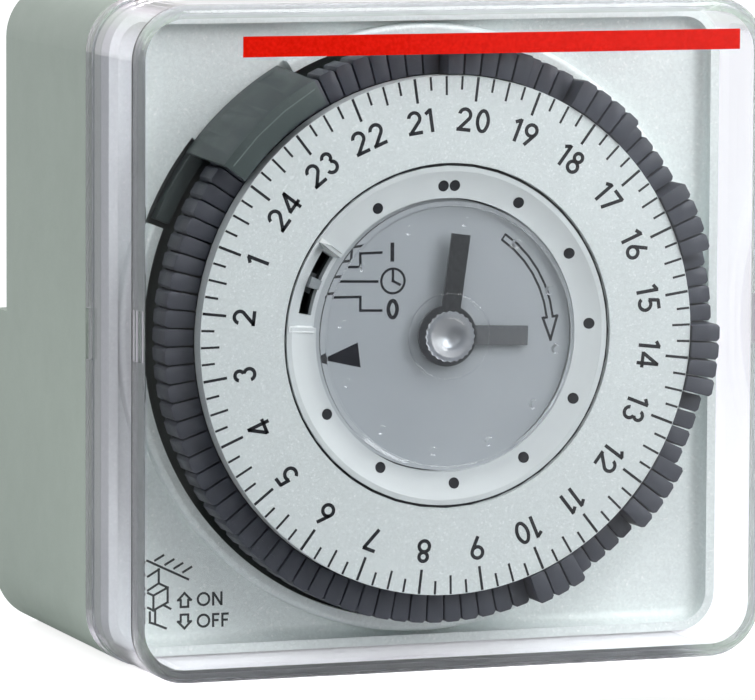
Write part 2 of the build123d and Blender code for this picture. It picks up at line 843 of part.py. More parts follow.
def tripper_outline(middle):
    """Give the head of one tripper, with its two outer corners cut."""
    inner_half = tripper_inner * tan(tripper_half_angle) - tripper_gap / 2
    outer_half = tripper_outer * tan(tripper_half_angle) - tripper_gap / 2
    corners = (
        (tripper_inner, -inner_half),
        (tripper_outer - tripper_chamfer, -outer_half),
        (tripper_outer, tripper_chamfer - outer_half),
        (tripper_outer, outer_half - tripper_chamfer),
        (tripper_outer - tripper_chamfer, outer_half),
        (tripper_inner, inner_half),
    )
    a = radians(middle)
    return [(r * cos(a) - t * sin(a), r * sin(a) + t * cos(a)) for r, t in corners]


for first, count, is_out in tripper_groups:
    name = f"trippers_{first // 4:02d}h{first % 4 * 15:02d}"
    tripper_back = tripper_front + tripper_depth - (tripper_travel if is_out else 0)
    middles = [dial_phase + (first + i + 0.5) * tripper_step for i in range(count)]
    with BuildPart() as trippers:
        with BuildSketch(facing(tripper_back)):
            for middle in middles:
                Polygon(*tripper_outline(middle), align=None)
        extrude(amount=tripper_depth)
        with BuildSketch(facing(tripper_back)):
            for middle in middles:
                neck_outer = tripper_inner + tripper_gap
                add(sector(tripper_neck_inner, neck_outer, middle - neck_half, middle + neck_half))
        extrude(amount=tripper_neck_depth)
    trippers.part.label = name
    export_step(trippers.part, f"parts/{name}.step")

# =============================== clock train ===============================

wheel_back = middle_wheel_front + middle_wheel_thickness
pinion_back = chassis_front - slide_gap
with BuildPart() as centre_arbor:
    with BuildSketch(facing(chassis_back)):
        Circle(arbor_radius)
    extrude(amount=chassis_back - arbor_front)
    with BuildSketch(facing(pinion_back)):
        Polygon(*gear_points(centre_teeth, clock_module, centre_phase), align=None)
    extrude(amount=pinion_back - middle_wheel_front)
centre_arbor.part.label = "centre_arbor"
export_step(centre_arbor.part, "parts/centre_arbor.step")

disc_back = disc_front + disc_thickness
with BuildPart() as setting_disc:
    with BuildSketch(facing(disc_back)):
        Circle(disc_radius)
    extrude(amount=disc_thickness)
    chamfer(setting_disc.faces().sort_by(Axis.Y)[0].edges(), disc_bevel)
    with BuildSketch(facing(disc_front)):
        with PolarLocations(nub_circle, nub_count, start_angle=minute_hand_angle):
            Circle(nub_radius)
    extrude(amount=nub_height, taper=nub_taper)
    with BuildSketch(facing(disc_back)):
        Circle(arbor_radius)
    extrude(amount=disc_thickness, mode=Mode.SUBTRACT)
setting_disc.part.label = "setting_disc"
export_step(setting_disc.part, "parts/setting_disc.step")

knurl_points = [
    polar(knob_radius - knurl_depth * (i % 2), i * 180 / knob_knurls) for i in range(2 * knob_knurls)
]
with BuildPart() as setting_knob:
    with BuildSketch(facing(disc_front)):
        Polygon(*knurl_points, align=None)
    extrude(amount=disc_front - knob_front)
setting_knob.part.label = "setting_knob"
export_step(setting_knob.part, "parts/setting_knob.step")

with BuildPart() as minute_hand:
    with BuildSketch(facing(disc_back + hand_thickness)):
        Circle(hand_hub)
        with Locations(Location((0, 0), minute_hand_angle)):
            with Locations((minute_hand_length / 2, 0)):
                Rectangle(minute_hand_length, hand_width)
        Circle(arbor_radius, mode=Mode.SUBTRACT)
    extrude(amount=hand_thickness)
minute_hand.part.label = "minute_hand"
export_step(minute_hand.part, "parts/minute_hand.step")

with BuildPart() as hour_hand:
    with BuildSketch(facing(hour_hand_front + hand_thickness)):
        Circle(hour_hand_hub)
        with Locations(Location((0, 0), hour_hand_angle)):
            with Locations((hour_hand_length / 2, 0)):
                Rectangle(hour_hand_length, hand_width)
        Circle(sleeve_radius, mode=Mode.SUBTRACT)
    extrude(amount=hand_thickness)
hour_hand.part.label = "hour_hand"
export_step(hour_hand.part, "parts/hour_hand.step")

hour_wheel_back = hour_wheel_front + hour_wheel_thickness
with BuildPart() as hour_wheel:
    with BuildSketch(facing(hour_wheel_back)):
        Circle(sleeve_radius)
    extrude(amount=hour_wheel_back - hour_hand_front)
    with BuildSketch(facing(hour_wheel_back)):
        Polygon(*gear_points(hour_teeth, clock_module, hour_phase), align=None)
    extrude(amount=hour_wheel_thickness)
    with BuildSketch(facing(hour_wheel_back)):
        Circle(arbor_radius + running_gap)
    extrude(amount=hour_wheel_back - hour_hand_front, mode=Mode.SUBTRACT)
hour_wheel.part.label = "hour_wheel"
export_step(hour_wheel.part, "parts/hour_wheel.step")

drive_pinion_back = hour_wheel_front - slide_gap
with BuildPart() as middle_wheel:
    with BuildSketch(facing(wheel_back)):
        with Locations(middle_centre):
            Polygon(*gear_points(middle_wheel_teeth, clock_module, middle_phase), align=None)
    extrude(amount=middle_wheel_thickness)
    with BuildSketch(facing(middle_wheel_front)):
        with Locations(middle_centre):
            Polygon(*gear_points(middle_pinion_teeth, clock_module, middle_phase), align=None)
    extrude(amount=middle_wheel_front - drive_pinion_back)
    with BuildSketch(facing(drive_pinion_back)):
        with Locations(middle_centre):
            Polygon(*gear_points(drive_pinion_teeth, drive_module, middle_phase), align=None)
    extrude(amount=drive_pinion_back - floor_back - slide_gap)
    with BuildSketch(facing(wheel_back)):
        with Locations(middle_centre):
            Circle(middle_pin + running_gap)
    extrude(amount=wheel_back - floor_back, mode=Mode.SUBTRACT)
middle_wheel.part.label = "middle_wheel"
export_step(middle_wheel.part, "parts/middle_wheel.step")

with BuildPart() as drive_gear:
    with BuildSketch(facing(ring_gear_back)):
        with Locations(drive_centre):
            Polygon(*gear_points(drive_teeth, drive_module, drive_phase), align=None)
    extrude(amount=drive_gear_thickness)
    with BuildSketch(facing(drive_gear_front)):
        with Locations(drive_centre):
            Circle(drive_hub)
    extrude(amount=drive_gear_front - floor_back - slide_gap)
    with BuildSketch(facing(ring_gear_back)):
        with Locations(drive_centre):
            Circle(drive_pin + running_gap)
    extrude(amount=ring_gear_back - floor_back, mode=Mode.SUBTRACT)
drive_gear.part.label = "drive_gear"
export_step(drive_gear.part, "parts/drive_gear.step")

drive_pin_back = ring_gear_back + slide_gap + drive_pin_head_depth
with BuildPart() as wheel_pins:
    with BuildSketch(facing(chassis_back)):
        with Locations(middle_centre):
            Circle(middle_pin)
    extrude(amount=chassis_back - drum_floor)
    with BuildSketch(facing(drive_pin_back)):
        with Locations(drive_centre):
            Circle(drive_pin)
    extrude(amount=drive_pin_back - drum_floor)
    with BuildSketch(facing(drive_pin_back)):
        with Locations(drive_centre):
            Circle(drive_pin_head)
    extrude(amount=drive_pin_head_depth)
wheel_pins.part.label = "wheel_pins"
export_step(wheel_pins.part, "parts/wheel_pins.step")

shaft_end = chassis_back + gearbox_depth / 2
with BuildPart() as motor_pinion:
    with BuildSketch(facing(pinion_back)):
        with Locations(motor_centre):
            Polygon(*gear_points(motor_teeth, clock_module, motor_phase), align=None)
    extrude(amount=pinion_back - middle_wheel_front)
    with BuildSketch(facing(shaft_end)):
        with Locations(motor_centre):
            Circle(motor_shaft)
    extrude(amount=shaft_end - pinion_back)
motor_pinion.part.label = "motor_pinion"
export_step(motor_pinion.part, "parts/motor_pinion.step")

# =============================== motor ===============================

motor_back = chassis_back + motor_depth
ear_back = chassis_back + motor_ear_thickness
with BuildPart() as motor:
    with BuildSketch(facing(ear_back)):
        with Locations((motor_x, motor_z)):
            SlotCenterToCenter(2 * motor_ear, motor_ear_width)
    extrude(amount=motor_ear_thickness)
    with BuildSketch(facing(chassis_back + gearbox_depth)):
        with Locations((motor_x, motor_z)):
            Circle(gearbox_radius)
    extrude(amount=gearbox_depth)
    with BuildSketch(facing(motor_back)):
        with Locations((motor_x, motor_z)):
            Circle(rotor_radius)
    extrude(amount=motor_depth - gearbox_depth)
    with BuildSketch(facing(shaft_end + slide_gap)):
        with Locations(motor_centre):
            Circle(motor_shaft + running_gap)
    extrude(amount=shaft_end + slide_gap - chassis_back, mode=Mode.SUBTRACT)
    with BuildSketch(facing(ear_back)):
        with Locations(*motor_ears_at):
            Circle(pan_shank)
    extrude(amount=motor_ear_thickness, mode=Mode.SUBTRACT)
motor.part.label = "motor"
export_step(motor.part, "parts/motor.step")

with BuildPart() as motor_screws:
    with BuildSketch(facing(ear_back + pan_head_depth)):
        with Locations(*motor_ears_at):
            Circle(pan_head)
    extrude(amount=pan_head_depth)
    with BuildSketch(facing(ear_back)):
        with Locations(*motor_ears_at):
            Circle(pan_shank)
    extrude(amount=motor_ear_thickness + chassis_thickness)
    with BuildSketch(facing(ear_back + pan_head_depth)):
        with Locations(*motor_ears_at):
            Rectangle(2 * pan_head, pan_slot_width)
    extrude(amount=pan_slot_depth, mode=Mode.SUBTRACT)
motor_screws.part.label = "motor_screws"
export_step(motor_screws.part, "parts/motor_screws.step")

# =============================== manual switch and trip lever ===============================

arm_back = mode_arm_front + mode_arm_thickness
arm_length = mode_leg_outer - mode_boss
with BuildPart() as mode_lever:
    with BuildSketch(facing(arm_back)):
        Circle(mode_hub)
        with Locations(Location((0, 0), mode_angle)):
            with Locations((mode_boss + arm_length / 2, 0)):
                Rectangle(arm_length, mode_arm_width)
        add(sector(mode_leg_inner, mode_slot_outer, mode_angle - mode_leg_half, mode_angle + mode_leg_half))
        Circle(mode_boss + running_gap, mode=Mode.SUBTRACT)
    extrude(amount=mode_arm_thickness)
    with BuildSketch(facing(mode_arm_front)):
        knob_inner = mode_slot_inner + slide_gap
        knob_outer = mode_slot_outer - slide_gap
        add(sector(knob_inner, knob_outer, mode_angle - mode_knob_half, mode_angle + mode_knob_half))
    extrude(amount=mode_arm_front - mode_knob_front)
    with BuildSketch(facing(mode_leg_end)):
        add(sector(mode_leg_inner, mode_leg_outer, mode_angle - mode_leg_half, mode_angle + mode_leg_half))
    extrude(amount=mode_leg_end - arm_back)
mode_lever.part.label = "mode_lever"
export_step(mode_lever.part, "parts/mode_lever.step")

hood_front_back = hood_front + hood_thickness
nose_middle = (nose_start + nose_end) / 2
nose_tip = tripper_outer + nose_clearance
nose_outline = (
    polar(hood_crease, nose_start),
    polar(hood_crease, nose_end),
    polar(nose_tip, nose_middle + nose_tip_half),
    polar(nose_tip, nose_middle - nose_tip_half),
)
with BuildPart() as trip_lever:
    with BuildSketch(section(hood_start)):
        Polygon(
            (hood_inner, hood_front + hood_front_fall),
            (hood_inner + hood_front_bevel, hood_front),
            (hood_crease, hood_front),
            (hood_foot, hood_back),
            (hood_foot - hood_wall, hood_back),
            (hood_crease - hood_wall + hood_front_fall, hood_front_back),
            (hood_inner, hood_front_back),
            align=None,
        )
    revolve(axis=dial_axis, revolution_arc=hood_end - hood_start)
    # the nose under the hood, set back so that trippers that stand out pass it at rest
    with BuildSketch(facing(nose_back)):
        Polygon(*nose_outline, align=None)
    extrude(amount=nose_back - hood_front_back)
    # the bar in the slot of the plate, joined to the foot of the hood
    with BuildSketch(facing(bar_back)):
        add(sector(bar_inner, bar_outer, hood_end - bar_overlap, bar_end))
    extrude(amount=bar_back - bar_front)
    with BuildSketch(facing(hood_back)):
        add(sector(bar_inner, hood_foot - hood_front_fall, hood_end - 2 * bar_overlap, hood_end))
    extrude(amount=hood_back - bar_front)
    # the finger that works the switch, on a root under the rim of the dial
    with BuildSketch(facing(hood_back)):
        add(
            sector(
                finger_radius - finger_size / 2,
                hood_foot - hood_front_fall,
                finger_angle - finger_root_half,
                finger_angle + finger_root_half,
            )
        )
    extrude(amount=hood_back - finger_root_front)
    with BuildSketch(facing(finger_back)):
        with Locations((finger_x, finger_z)):
            Rectangle(finger_size, finger_size)
    extrude(amount=finger_back - finger_root_front)
    with BuildSketch(facing(bar_back)):
        with Locations((pivot_x, pivot_z)):
            Circle(lever_pin_radius + running_gap)
    extrude(amount=bar_back - bar_front - lever_pin_cap, mode=Mode.SUBTRACT)
trip_lever.part.label = "trip_lever"
export_step(trip_lever.part, "parts/trip_lever.step")

with BuildPart() as trip_lever_pin:
    with BuildSketch(facing(chassis_back)):
        with Locations((pivot_x, pivot_z)):
            Circle(lever_pin_radius)
    extrude(amount=chassis_back - bar_front - lever_pin_cap - slide_gap)
trip_lever_pin.part.label = "trip_lever_pin"
export_step(trip_lever_pin.part, "parts/trip_lever_pin.step")

switch_back = switch_front + switch_depth
bore_bottom = half_width + switch_top - plunger_bore
plunger_y = switch_middle - half_depth
plunger_plane = Plane((finger_x, plunger_y, bore_bottom), x_dir=(1, 0, 0), z_dir=(0, 0, 1))
with BuildPart() as switch_body:
    with BuildSketch(facing(switch_back)):
        with Locations((finger_x, switch_z)):
            RectangleRounded(switch_length, switch_height, switch_rounding)
    extrude(amount=switch_depth)
    with BuildSketch(plunger_plane):
        Circle(plunger_radius + running_gap)
    extrude(amount=plunger_bore, mode=Mode.SUBTRACT)
    with BuildSketch(facing(switch_back)):
        with Locations(*switch_screws_at):
            Circle(pan_shank)
    extrude(amount=switch_depth, mode=Mode.SUBTRACT)
switch_body.part.label = "switch_body"
export_step(switch_body.part, "parts/switch_body.step")

with BuildPart() as switch_plunger:
    with BuildSketch(plunger_plane.offset(plunger_rest)):
        Circle(plunger_radius)
    extrude(amount=plunger_bore - plunger_rest + plunger_proud)
    fillet(switch_plunger.faces().sort_by(Axis.Z)[-1].edges(), plunger_rounding)
switch_plunger.part.label = "switch_plunger"
export_step(switch_plunger.part, "parts/switch_plunger.step")

switch_bottom = switch_top - switch_height
tab_back = switch_middle + tab_thickness / 2
with BuildPart() as switch_tabs:
    with BuildSketch(facing(tab_back)):
        with Locations((finger_x, switch_bottom - tab_length / 2)):
            with GridLocations(tab_spacing, 1, 3, 1):
                Rectangle(tab_width, tab_length)
    extrude(amount=tab_thickness)
switch_tabs.part.label = "switch_tabs"
export_step(switch_tabs.part, "parts/switch_tabs.step")

with BuildPart() as switch_screws:
    with BuildSketch(facing(switch_back + pan_head_depth)):
        with Locations(*switch_screws_at):
            Circle(pan_head)
    extrude(amount=pan_head_depth)
    with BuildSketch(facing(switch_back)):
        with Locations(*switch_screws_at):
            Circle(pan_shank)
    extrude(amount=switch_back - chassis_front)
    with BuildSketch(facing(switch_back + pan_head_depth)):
        with Locations(*switch_screws_at):
            Rectangle(2 * pan_head, pan_slot_width)
    extrude(amount=pan_slot_depth, mode=Mode.SUBTRACT)
switch_screws.part.label = "switch_screws"
export_step(switch_screws.part, "parts/switch_screws.step")

# =============================== terminals ===============================

block_back = block_front + block_depth
clamp_back = clamp_front + clamp_depth
block_bottom = block_top - block_height
ear_face = block_front + block_ear_thickness
entry_y = (clamp_front + clamp_back) / 2 - half_depth
entry_plane = Plane((0, entry_y, block_bottom), x_dir=(1, 0, 0), z_dir=(0, 0, 1))
with BuildPart() as terminal_block:
    with BuildSketch(facing(block_back)):
        with Locations((0, block_middle)):
            RectangleRounded(block_length, block_height, block_rounding)
    extrude(amount=block_depth)
    with BuildSketch(facing(ear_face)):
        with Locations((0, block_middle)):
            RectangleRounded(2 * block_ear, block_height, block_rounding)
    extrude(amount=block_ear_thickness)
    with BuildSketch(facing(ear_face)):
        with Locations((block_screw_x, block_middle), (-block_screw_x, block_middle)):
            Circle(pan_shank)
    extrude(amount=block_ear_thickness, mode=Mode.SUBTRACT)
    # pockets of the clamps, open towards the partition, with a well for each screw
    with BuildSketch(facing(clamp_back)):
        with Locations((0, block_middle)):
            with GridLocations(terminal_pitch, 1, terminal_count, 1):
                Rectangle(clamp_size + 2 * clamp_gap, clamp_size + 2 * clamp_gap)
    extrude(amount=clamp_back - block_front, mode=Mode.SUBTRACT)
    with BuildSketch(facing(block_back)):
        with Locations((0, block_middle)):
            with GridLocations(terminal_pitch, 1, terminal_count, 1):
                Circle(screw_well)
    extrude(amount=block_back - clamp_back, mode=Mode.SUBTRACT)
    with BuildSketch(entry_plane):
        with GridLocations(terminal_pitch, 1, terminal_count, 1):
            Circle(wire_entry)
    extrude(amount=block_height / 2, mode=Mode.SUBTRACT)
terminal_block.part.label = "terminal_block"
export_step(terminal_block.part, "parts/terminal_block.step")

with BuildPart() as block_screws:
    with BuildSketch(facing(ear_face + pan_head_depth)):
        with Locations((block_screw_x, block_middle), (-block_screw_x, block_middle)):
            Circle(pan_head)
    extrude(amount=pan_head_depth)
    with BuildSketch(facing(ear_face)):
        with Locations((block_screw_x, block_middle), (-block_screw_x, block_middle)):
            Circle(pan_shank)
    extrude(amount=ear_face - partition_front)
    with BuildSketch(facing(ear_face + pan_head_depth)):
        with Locations((block_screw_x, block_middle), (-block_screw_x, block_middle)):
            Rectangle(2 * pan_head, pan_slot_width)
    extrude(amount=pan_slot_depth, mode=Mode.SUBTRACT)
block_screws.part.label = "block_screws"
export_step(block_screws.part, "parts/block_screws.step")

with BuildPart() as terminal_clamps:
    with BuildSketch(facing(clamp_back)):
        with Locations((0, block_middle)):
            with GridLocations(terminal_pitch, 1, terminal_count, 1):
                Rectangle(clamp_size, clamp_size)
    extrude(amount=clamp_depth)
    with BuildSketch(entry_plane):
        with GridLocations(terminal_pitch, 1, terminal_count, 1):
            Circle(wire_entry)
    extrude(amount=block_height, mode=Mode.SUBTRACT)
    with BuildSketch(facing(clamp_back)):
        with Locations((0, block_middle)):
            with GridLocations(terminal_pitch, 1, terminal_count, 1):
                Circle(pan_shank)
    extrude(amount=clamp_depth / 2, mode=Mode.SUBTRACT)
terminal_clamps.part.label = "terminal_clamps"
export_step(terminal_clamps.part, "parts/terminal_clamps.step")

head_back = clamp_back + terminal_head_depth
with BuildPart() as terminal_screws:
    with BuildSketch(facing(head_back)):
        with Locations((0, block_middle)):
            with GridLocations(terminal_pitch, 1, terminal_count, 1):
                Circle(pan_head)
    extrude(amount=terminal_head_depth)
    with BuildSketch(facing(clamp_back)):
        with Locations((0, block_middle)):
            with GridLocations(terminal_pitch, 1, terminal_count, 1):
                Circle(pan_shank)
    extrude(amount=terminal_shank_length)
    with BuildSketch(facing(head_back)):
        with Locations((0, block_middle)):
            with GridLocations(terminal_pitch, 1, terminal_count, 1):
                Rectangle(2 * pan_head, terminal_slot_width)
    extrude(amount=terminal_slot_depth, mode=Mode.SUBTRACT)
terminal_screws.part.label = "terminal_screws"
export_step(terminal_screws.part, "parts/terminal_screws.step")

# stiff square leads from the switch and the motor to the clamps
half_lead = lead_size / 2
terminal_x = [terminal_pitch * (i - (terminal_count - 1) / 2) for i in range(terminal_count)]
tab_x = [finger_x + tab_spacing * (i - 1) for i in range(3)]
tab_lead_z = switch_bottom - tab_length + half_lead
motor_lead_x = (terminal_x[3], motor_x + rotor_radius - motor_lead_inset)
lead_routes = []
for i in range(3):
    jog_z = tab_lead_z - lead_jog * (i % 2)
    lead_routes.append((
        (tab_x[i], tab_back + half_lead, tab_lead_z),
        (tab_x[i], lead_depth, tab_lead_z),
        (tab_x[i], lead_depth, jog_z),
        (terminal_x[i], lead_depth, jog_z),
        (terminal_x[i], lead_depth, block_middle),
        (terminal_x[i], clamp_front - half_lead, block_middle),
    ))
for i in range(2):
    lead_routes.append((
        (motor_lead_x[i], motor_back + half_lead, block_middle + motor_lead_rise),
        (motor_lead_x[i], motor_back + half_lead, block_middle),
        (terminal_x[3 + i], motor_back + half_lead, block_middle),
        (terminal_x[3 + i], clamp_front - half_lead, block_middle),
    ))
with BuildPart() as contact_leads:
    for route in lead_routes:
        for start, end in zip(route, route[1:]):
            spans = [abs(a - b) + lead_size for a, b in zip(start, end)]
            x, depth, z = [(a + b) / 2 for a, b in zip(start, end)]
            with Locations((x, depth - half_depth, z + half_width)):
                Box(*spans)
contact_leads.part.label = "contact_leads"
export_step(contact_leads.part, "parts/contact_leads.step")
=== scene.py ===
"""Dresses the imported 24-hour time switch for Blender.

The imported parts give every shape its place. This scene adds the print, the softened edges and the
finishes, and sets up a small studio round them. Plan positions are in millimetres as seen from the
front: u to the right and v upwards from the middle of the dial, with depths counted backwards from
the front of the clear cover.
"""

from __future__ import annotations

import functools
import json
import logging
import math
from dataclasses import dataclass, field
from enum import Enum
from typing import Iterable, Sequence

import bmesh
import bpy
from mathutils import Matrix, Vector

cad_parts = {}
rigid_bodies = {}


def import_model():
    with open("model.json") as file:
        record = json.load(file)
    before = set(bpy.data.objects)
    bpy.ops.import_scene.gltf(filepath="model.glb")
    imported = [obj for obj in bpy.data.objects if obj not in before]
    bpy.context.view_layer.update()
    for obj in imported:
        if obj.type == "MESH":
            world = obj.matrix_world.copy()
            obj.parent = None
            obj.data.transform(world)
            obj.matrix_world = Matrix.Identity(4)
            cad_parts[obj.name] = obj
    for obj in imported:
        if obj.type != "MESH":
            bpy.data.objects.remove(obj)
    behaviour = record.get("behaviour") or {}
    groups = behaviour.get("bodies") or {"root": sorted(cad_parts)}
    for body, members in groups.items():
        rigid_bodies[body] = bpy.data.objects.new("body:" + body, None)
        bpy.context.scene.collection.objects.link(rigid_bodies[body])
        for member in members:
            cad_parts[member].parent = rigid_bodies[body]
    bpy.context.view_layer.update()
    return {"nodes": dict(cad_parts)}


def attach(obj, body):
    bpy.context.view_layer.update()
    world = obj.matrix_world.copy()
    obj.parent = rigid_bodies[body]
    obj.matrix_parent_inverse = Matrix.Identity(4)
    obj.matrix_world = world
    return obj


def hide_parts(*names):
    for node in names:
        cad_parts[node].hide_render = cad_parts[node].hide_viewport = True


LOG = logging.getLogger("time_switch")
MM = 0.001
COVER_FRONT = 25.5
DIAL_HEIGHT = 36.0
# depth in front of everything, from which ink is dropped onto its node
IN_FRONT = -5.0
# usual gap between characters, in cap heights
LETTER_GAP = 0.16
# steps in the full turn of a turned piece, and how near its doubled points lie, in millimetres
TURN_STEPS = 72
TURN_WELD = 0.001
# the values that a noise mostly keeps to, and the range from nothing to all
SWING = (0.3, 0.7)
UNIT = (0.0, 1.0)

Point = tuple[float, float]
Colour = tuple[float, float, float]
Place = tuple[float, float, float]
Piece = bpy.types.Object
Node = bpy.types.Node
Socket = bpy.types.NodeSocket
Nodes = dict[str, Piece]


def place(u: float, v: float, depth: float) -> Vector:
    """Turns a plan position and a depth into a point of the row frame.

    Args:
        u: Millimetres to the right of the middle of the dial.
        v: Millimetres above the middle of the dial.
        depth: Millimetres behind the front of the clear cover.

    Returns:
        The point in metres.
    """
    return Vector((u * MM, (depth - COVER_FRONT) * MM, (v + DIAL_HEIGHT) * MM))


def polar(radius: float, angle: float) -> Point:
    """Gives the plan position of a radius and an angle in degrees.

    Args:
        radius: Millimetres from the middle of the dial.
        angle: Degrees anticlockwise from the right.

    Returns:
        The plan position in millimetres.
    """
    return radius * math.cos(math.radians(angle)), radius * math.sin(math.radians(angle))


def shade(red: float, green: float, blue: float) -> Colour:
    """Turns display values of 0 to 255 into the linear colour that shaders use.

    Args:
        red: Red value.
        green: Green value.
        blue: Blue value.

    Returns:
        The linear colour.
    """

    def linear(value: float) -> float:
        """Undoes the display curve for one channel."""
        part = value / 255.0
        return part / 12.92 if part <= 0.04045 else ((part + 0.055) / 1.055) ** 2.4

    return linear(red), linear(green), linear(blue)


def toned(colour: Colour, factor: float, lift: float = 0.0) -> Colour:
    """Makes a colour lighter or darker.

    Args:
        colour: Linear colour.
        factor: What each channel is multiplied by.
        lift: What is then added to it.

    Returns:
        The new colour, with no channel over 1.
    """
    return tuple(min(1.0, channel * factor + lift) for channel in colour)


# ------------------------------------------------------------------------------------ finishes


class NodeSheet:
    """The node tree of a material or of the world, with short ways to add what they share."""

    def __init__(self, owner: bpy.types.Material | bpy.types.World) -> None:
        """Starts an empty tree with an output and coordinates.

        Args:
            owner: Material or world that has the tree.
        """
        owner.use_nodes = True
        self.tree = owner.node_tree
        self.tree.nodes.clear()
        kind = "World" if isinstance(owner, bpy.types.World) else "Material"
        self.output = self.add(f"ShaderNodeOutput{kind}")
        self.coordinates = self.add("ShaderNodeTexCoord")
        self.where = self.coordinates.outputs["Object"]

    def add(self, kind: str, **settings: object) -> Node:
        """Adds a node and sets its own properties.

        Args:
            kind: Type name of the node.
            **settings: Properties of the node.

        Returns:
            The new node.
        """
        node = self.tree.nodes.new(kind)
        for key, value in settings.items():
            setattr(node, key, value)
        return node

    def join(self, source: Socket, target: Socket) -> None:
        """Links two sockets."""
        self.tree.links.new(source, target)

    def surface(self, shader: Socket) -> None:
        """Sends a shader to the output."""
        self.join(shader, self.output.inputs["Surface"])

    def either(self, factor: Socket, first: Node, second: Node) -> None:
        """Sends a mix of two shaders to the output, in place of what it has.

        Args:
            factor: How much of the second shader.
            first: Shader at 0.
            second: Shader at 1.
        """
        mix = self.add("ShaderNodeMixShader")
        sources = (factor, first.outputs[0], second.outputs[0])
        for source, socket in zip(sources, mix.inputs):
            self.join(source, socket)
        self.surface(mix.outputs[0])

    def principled(self, **values: float | Colour) -> Node:
        """Adds a Principled shader.

        Args:
            **values: Socket values, with the socket's name in small letters and underscores.

        Returns:
            The shader node.
        """
        node = self.add("ShaderNodeBsdfPrincipled")
        by_name = {socket.name.lower().replace(" ", "_"): socket for socket in node.inputs}
        for key, value in values.items():
            by_name[key].default_value = (*value, 1.0) if isinstance(value, tuple) else value
        return node

    def coat(self, shader: Node, tone: Socket | None, rough: Socket, normal: Socket) -> None:
        """Joins a finish's patterns to its Principled shader and sends that to the output.

        Args:
            shader: The shader node.
            tone: Colour, or None where the shader keeps its own.
            rough: Roughness.
            normal: Normals.
        """
        if tone is not None:
            self.join(tone, shader.inputs["Base Color"])
        self.join(rough, shader.inputs["Roughness"])
        self.join(normal, shader.inputs["Normal"])
        self.surface(shader.outputs[0])

    def stretched(self, scale: Place) -> Socket:
        """Gives object coordinates stretched along the axes.

        Args:
            scale: Factor for each axis.

        Returns:
            The coordinate socket.
        """
        node = self.add("ShaderNodeMapping")
        node.inputs["Scale"].default_value = scale
        self.join(self.where, node.inputs["Vector"])
        return node.outputs["Vector"]

    def noise(self, scale: float, detail: float = 2.0, where: Socket | None = None) -> Socket:
        """Adds noise.

        Args:
            scale: Features per metre.
            detail: Octaves.
            where: Coordinates, or None for plain object coordinates.

        Returns:
            The noise value.
        """
        node = self.add("ShaderNodeTexNoise")
        node.inputs["Scale"].default_value = scale
        node.inputs["Detail"].default_value = detail
        self.join(where or self.where, node.inputs["Vector"])
        return node.outputs[0]

    def cells(self, scale: float) -> Node:
        """Adds a Voronoi pattern of cells with random colours.

        Args:
            scale: Cells per metre.

        Returns:
            The texture node.
        """
        node = self.add("ShaderNodeTexVoronoi")
        node.inputs["Scale"].default_value = scale
        self.join(self.where, node.inputs["Vector"])
        return node

    def remap(self, source: Socket, span: Point, result: Point) -> Socket:
        """Maps one range of values to another and clamps it.

        Args:
            source: Value to map.
            span: Lowest and highest value taken.
            result: Values that those become.

        Returns:
            The mapped value.
        """
        node = self.add("ShaderNodeMapRange")
        for key, value in zip(("From Min", "From Max", "To Min", "To Max"), span + result):
            node.inputs[key].default_value = value
        self.join(source, node.inputs["Value"])
        return node.outputs["Result"]

    def calculate(
        self, operation: str, first: Socket, second: Socket | float = 0.0, clamp: bool = False
    ) -> Socket:
        """Adds a math node.

        Args:
            operation: Name of the operation.
            first: First value.
            second: Second value, a socket or a number.
            clamp: True to keep the result between 0 and 1.

        Returns:
            The result.
        """
        node = self.add("ShaderNodeMath", operation=operation, use_clamp=clamp)
        self.join(first, node.inputs[0])
        if isinstance(second, float):
            node.inputs[1].default_value = second
        else:
            self.join(second, node.inputs[1])
        return node.outputs[0]

    def blend(self, factor: Socket, first: Colour | Socket, second: Colour | Socket) -> Socket:
        """Mixes two colours.

        Args:
            factor: How much of the second colour.
            first: Colour at 0.
            second: Colour at 1.

        Returns:
            The mixed colour.
        """
        node = self.add("ShaderNodeMix", data_type="RGBA")
        self.join(factor, node.inputs["Factor"])
        for socket, value in zip((node.inputs[6], node.inputs[7]), (first, second)):
            if isinstance(value, tuple):
                socket.default_value = (*value, 1.0)
            else:
                self.join(value, socket)
        return node.outputs[2]

    def bump(
        self, height: Socket, depth: float, strength: float, under: Socket | None = None
    ) -> Socket:
        """Turns a height pattern into normals.

        Args:
            height: Pattern from 0 to 1.
            depth: Millimetres that the full height stands for.
            strength: How strongly it shows.
            under: Normals of a coarser pattern below it.

        Returns:
            The normals.
        """
        node = self.add("ShaderNodeBump")
        node.inputs["Strength"].default_value = strength
        node.inputs["Distance"].default_value = depth * MM
        self.join(height, node.inputs["Height"])
        if under is not None:
            self.join(under, node.inputs["Normal"])
        return node.outputs["Normal"]


@dataclass(frozen=True)
class Finish:
    """What every finish has: a name and a way to build its material once."""

    name: str

    @functools.cache
    def material(self) -> bpy.types.Material:
        """Builds the material, or gives the one already built.

        Returns:
            The material.
        """
        material = bpy.data.materials.new(self.name)
        self.paint(NodeSheet(material))
        return material

    def paint(self, sheet: NodeSheet) -> None:
        """Lays the finish's nodes on a sheet."""
        raise NotImplementedError


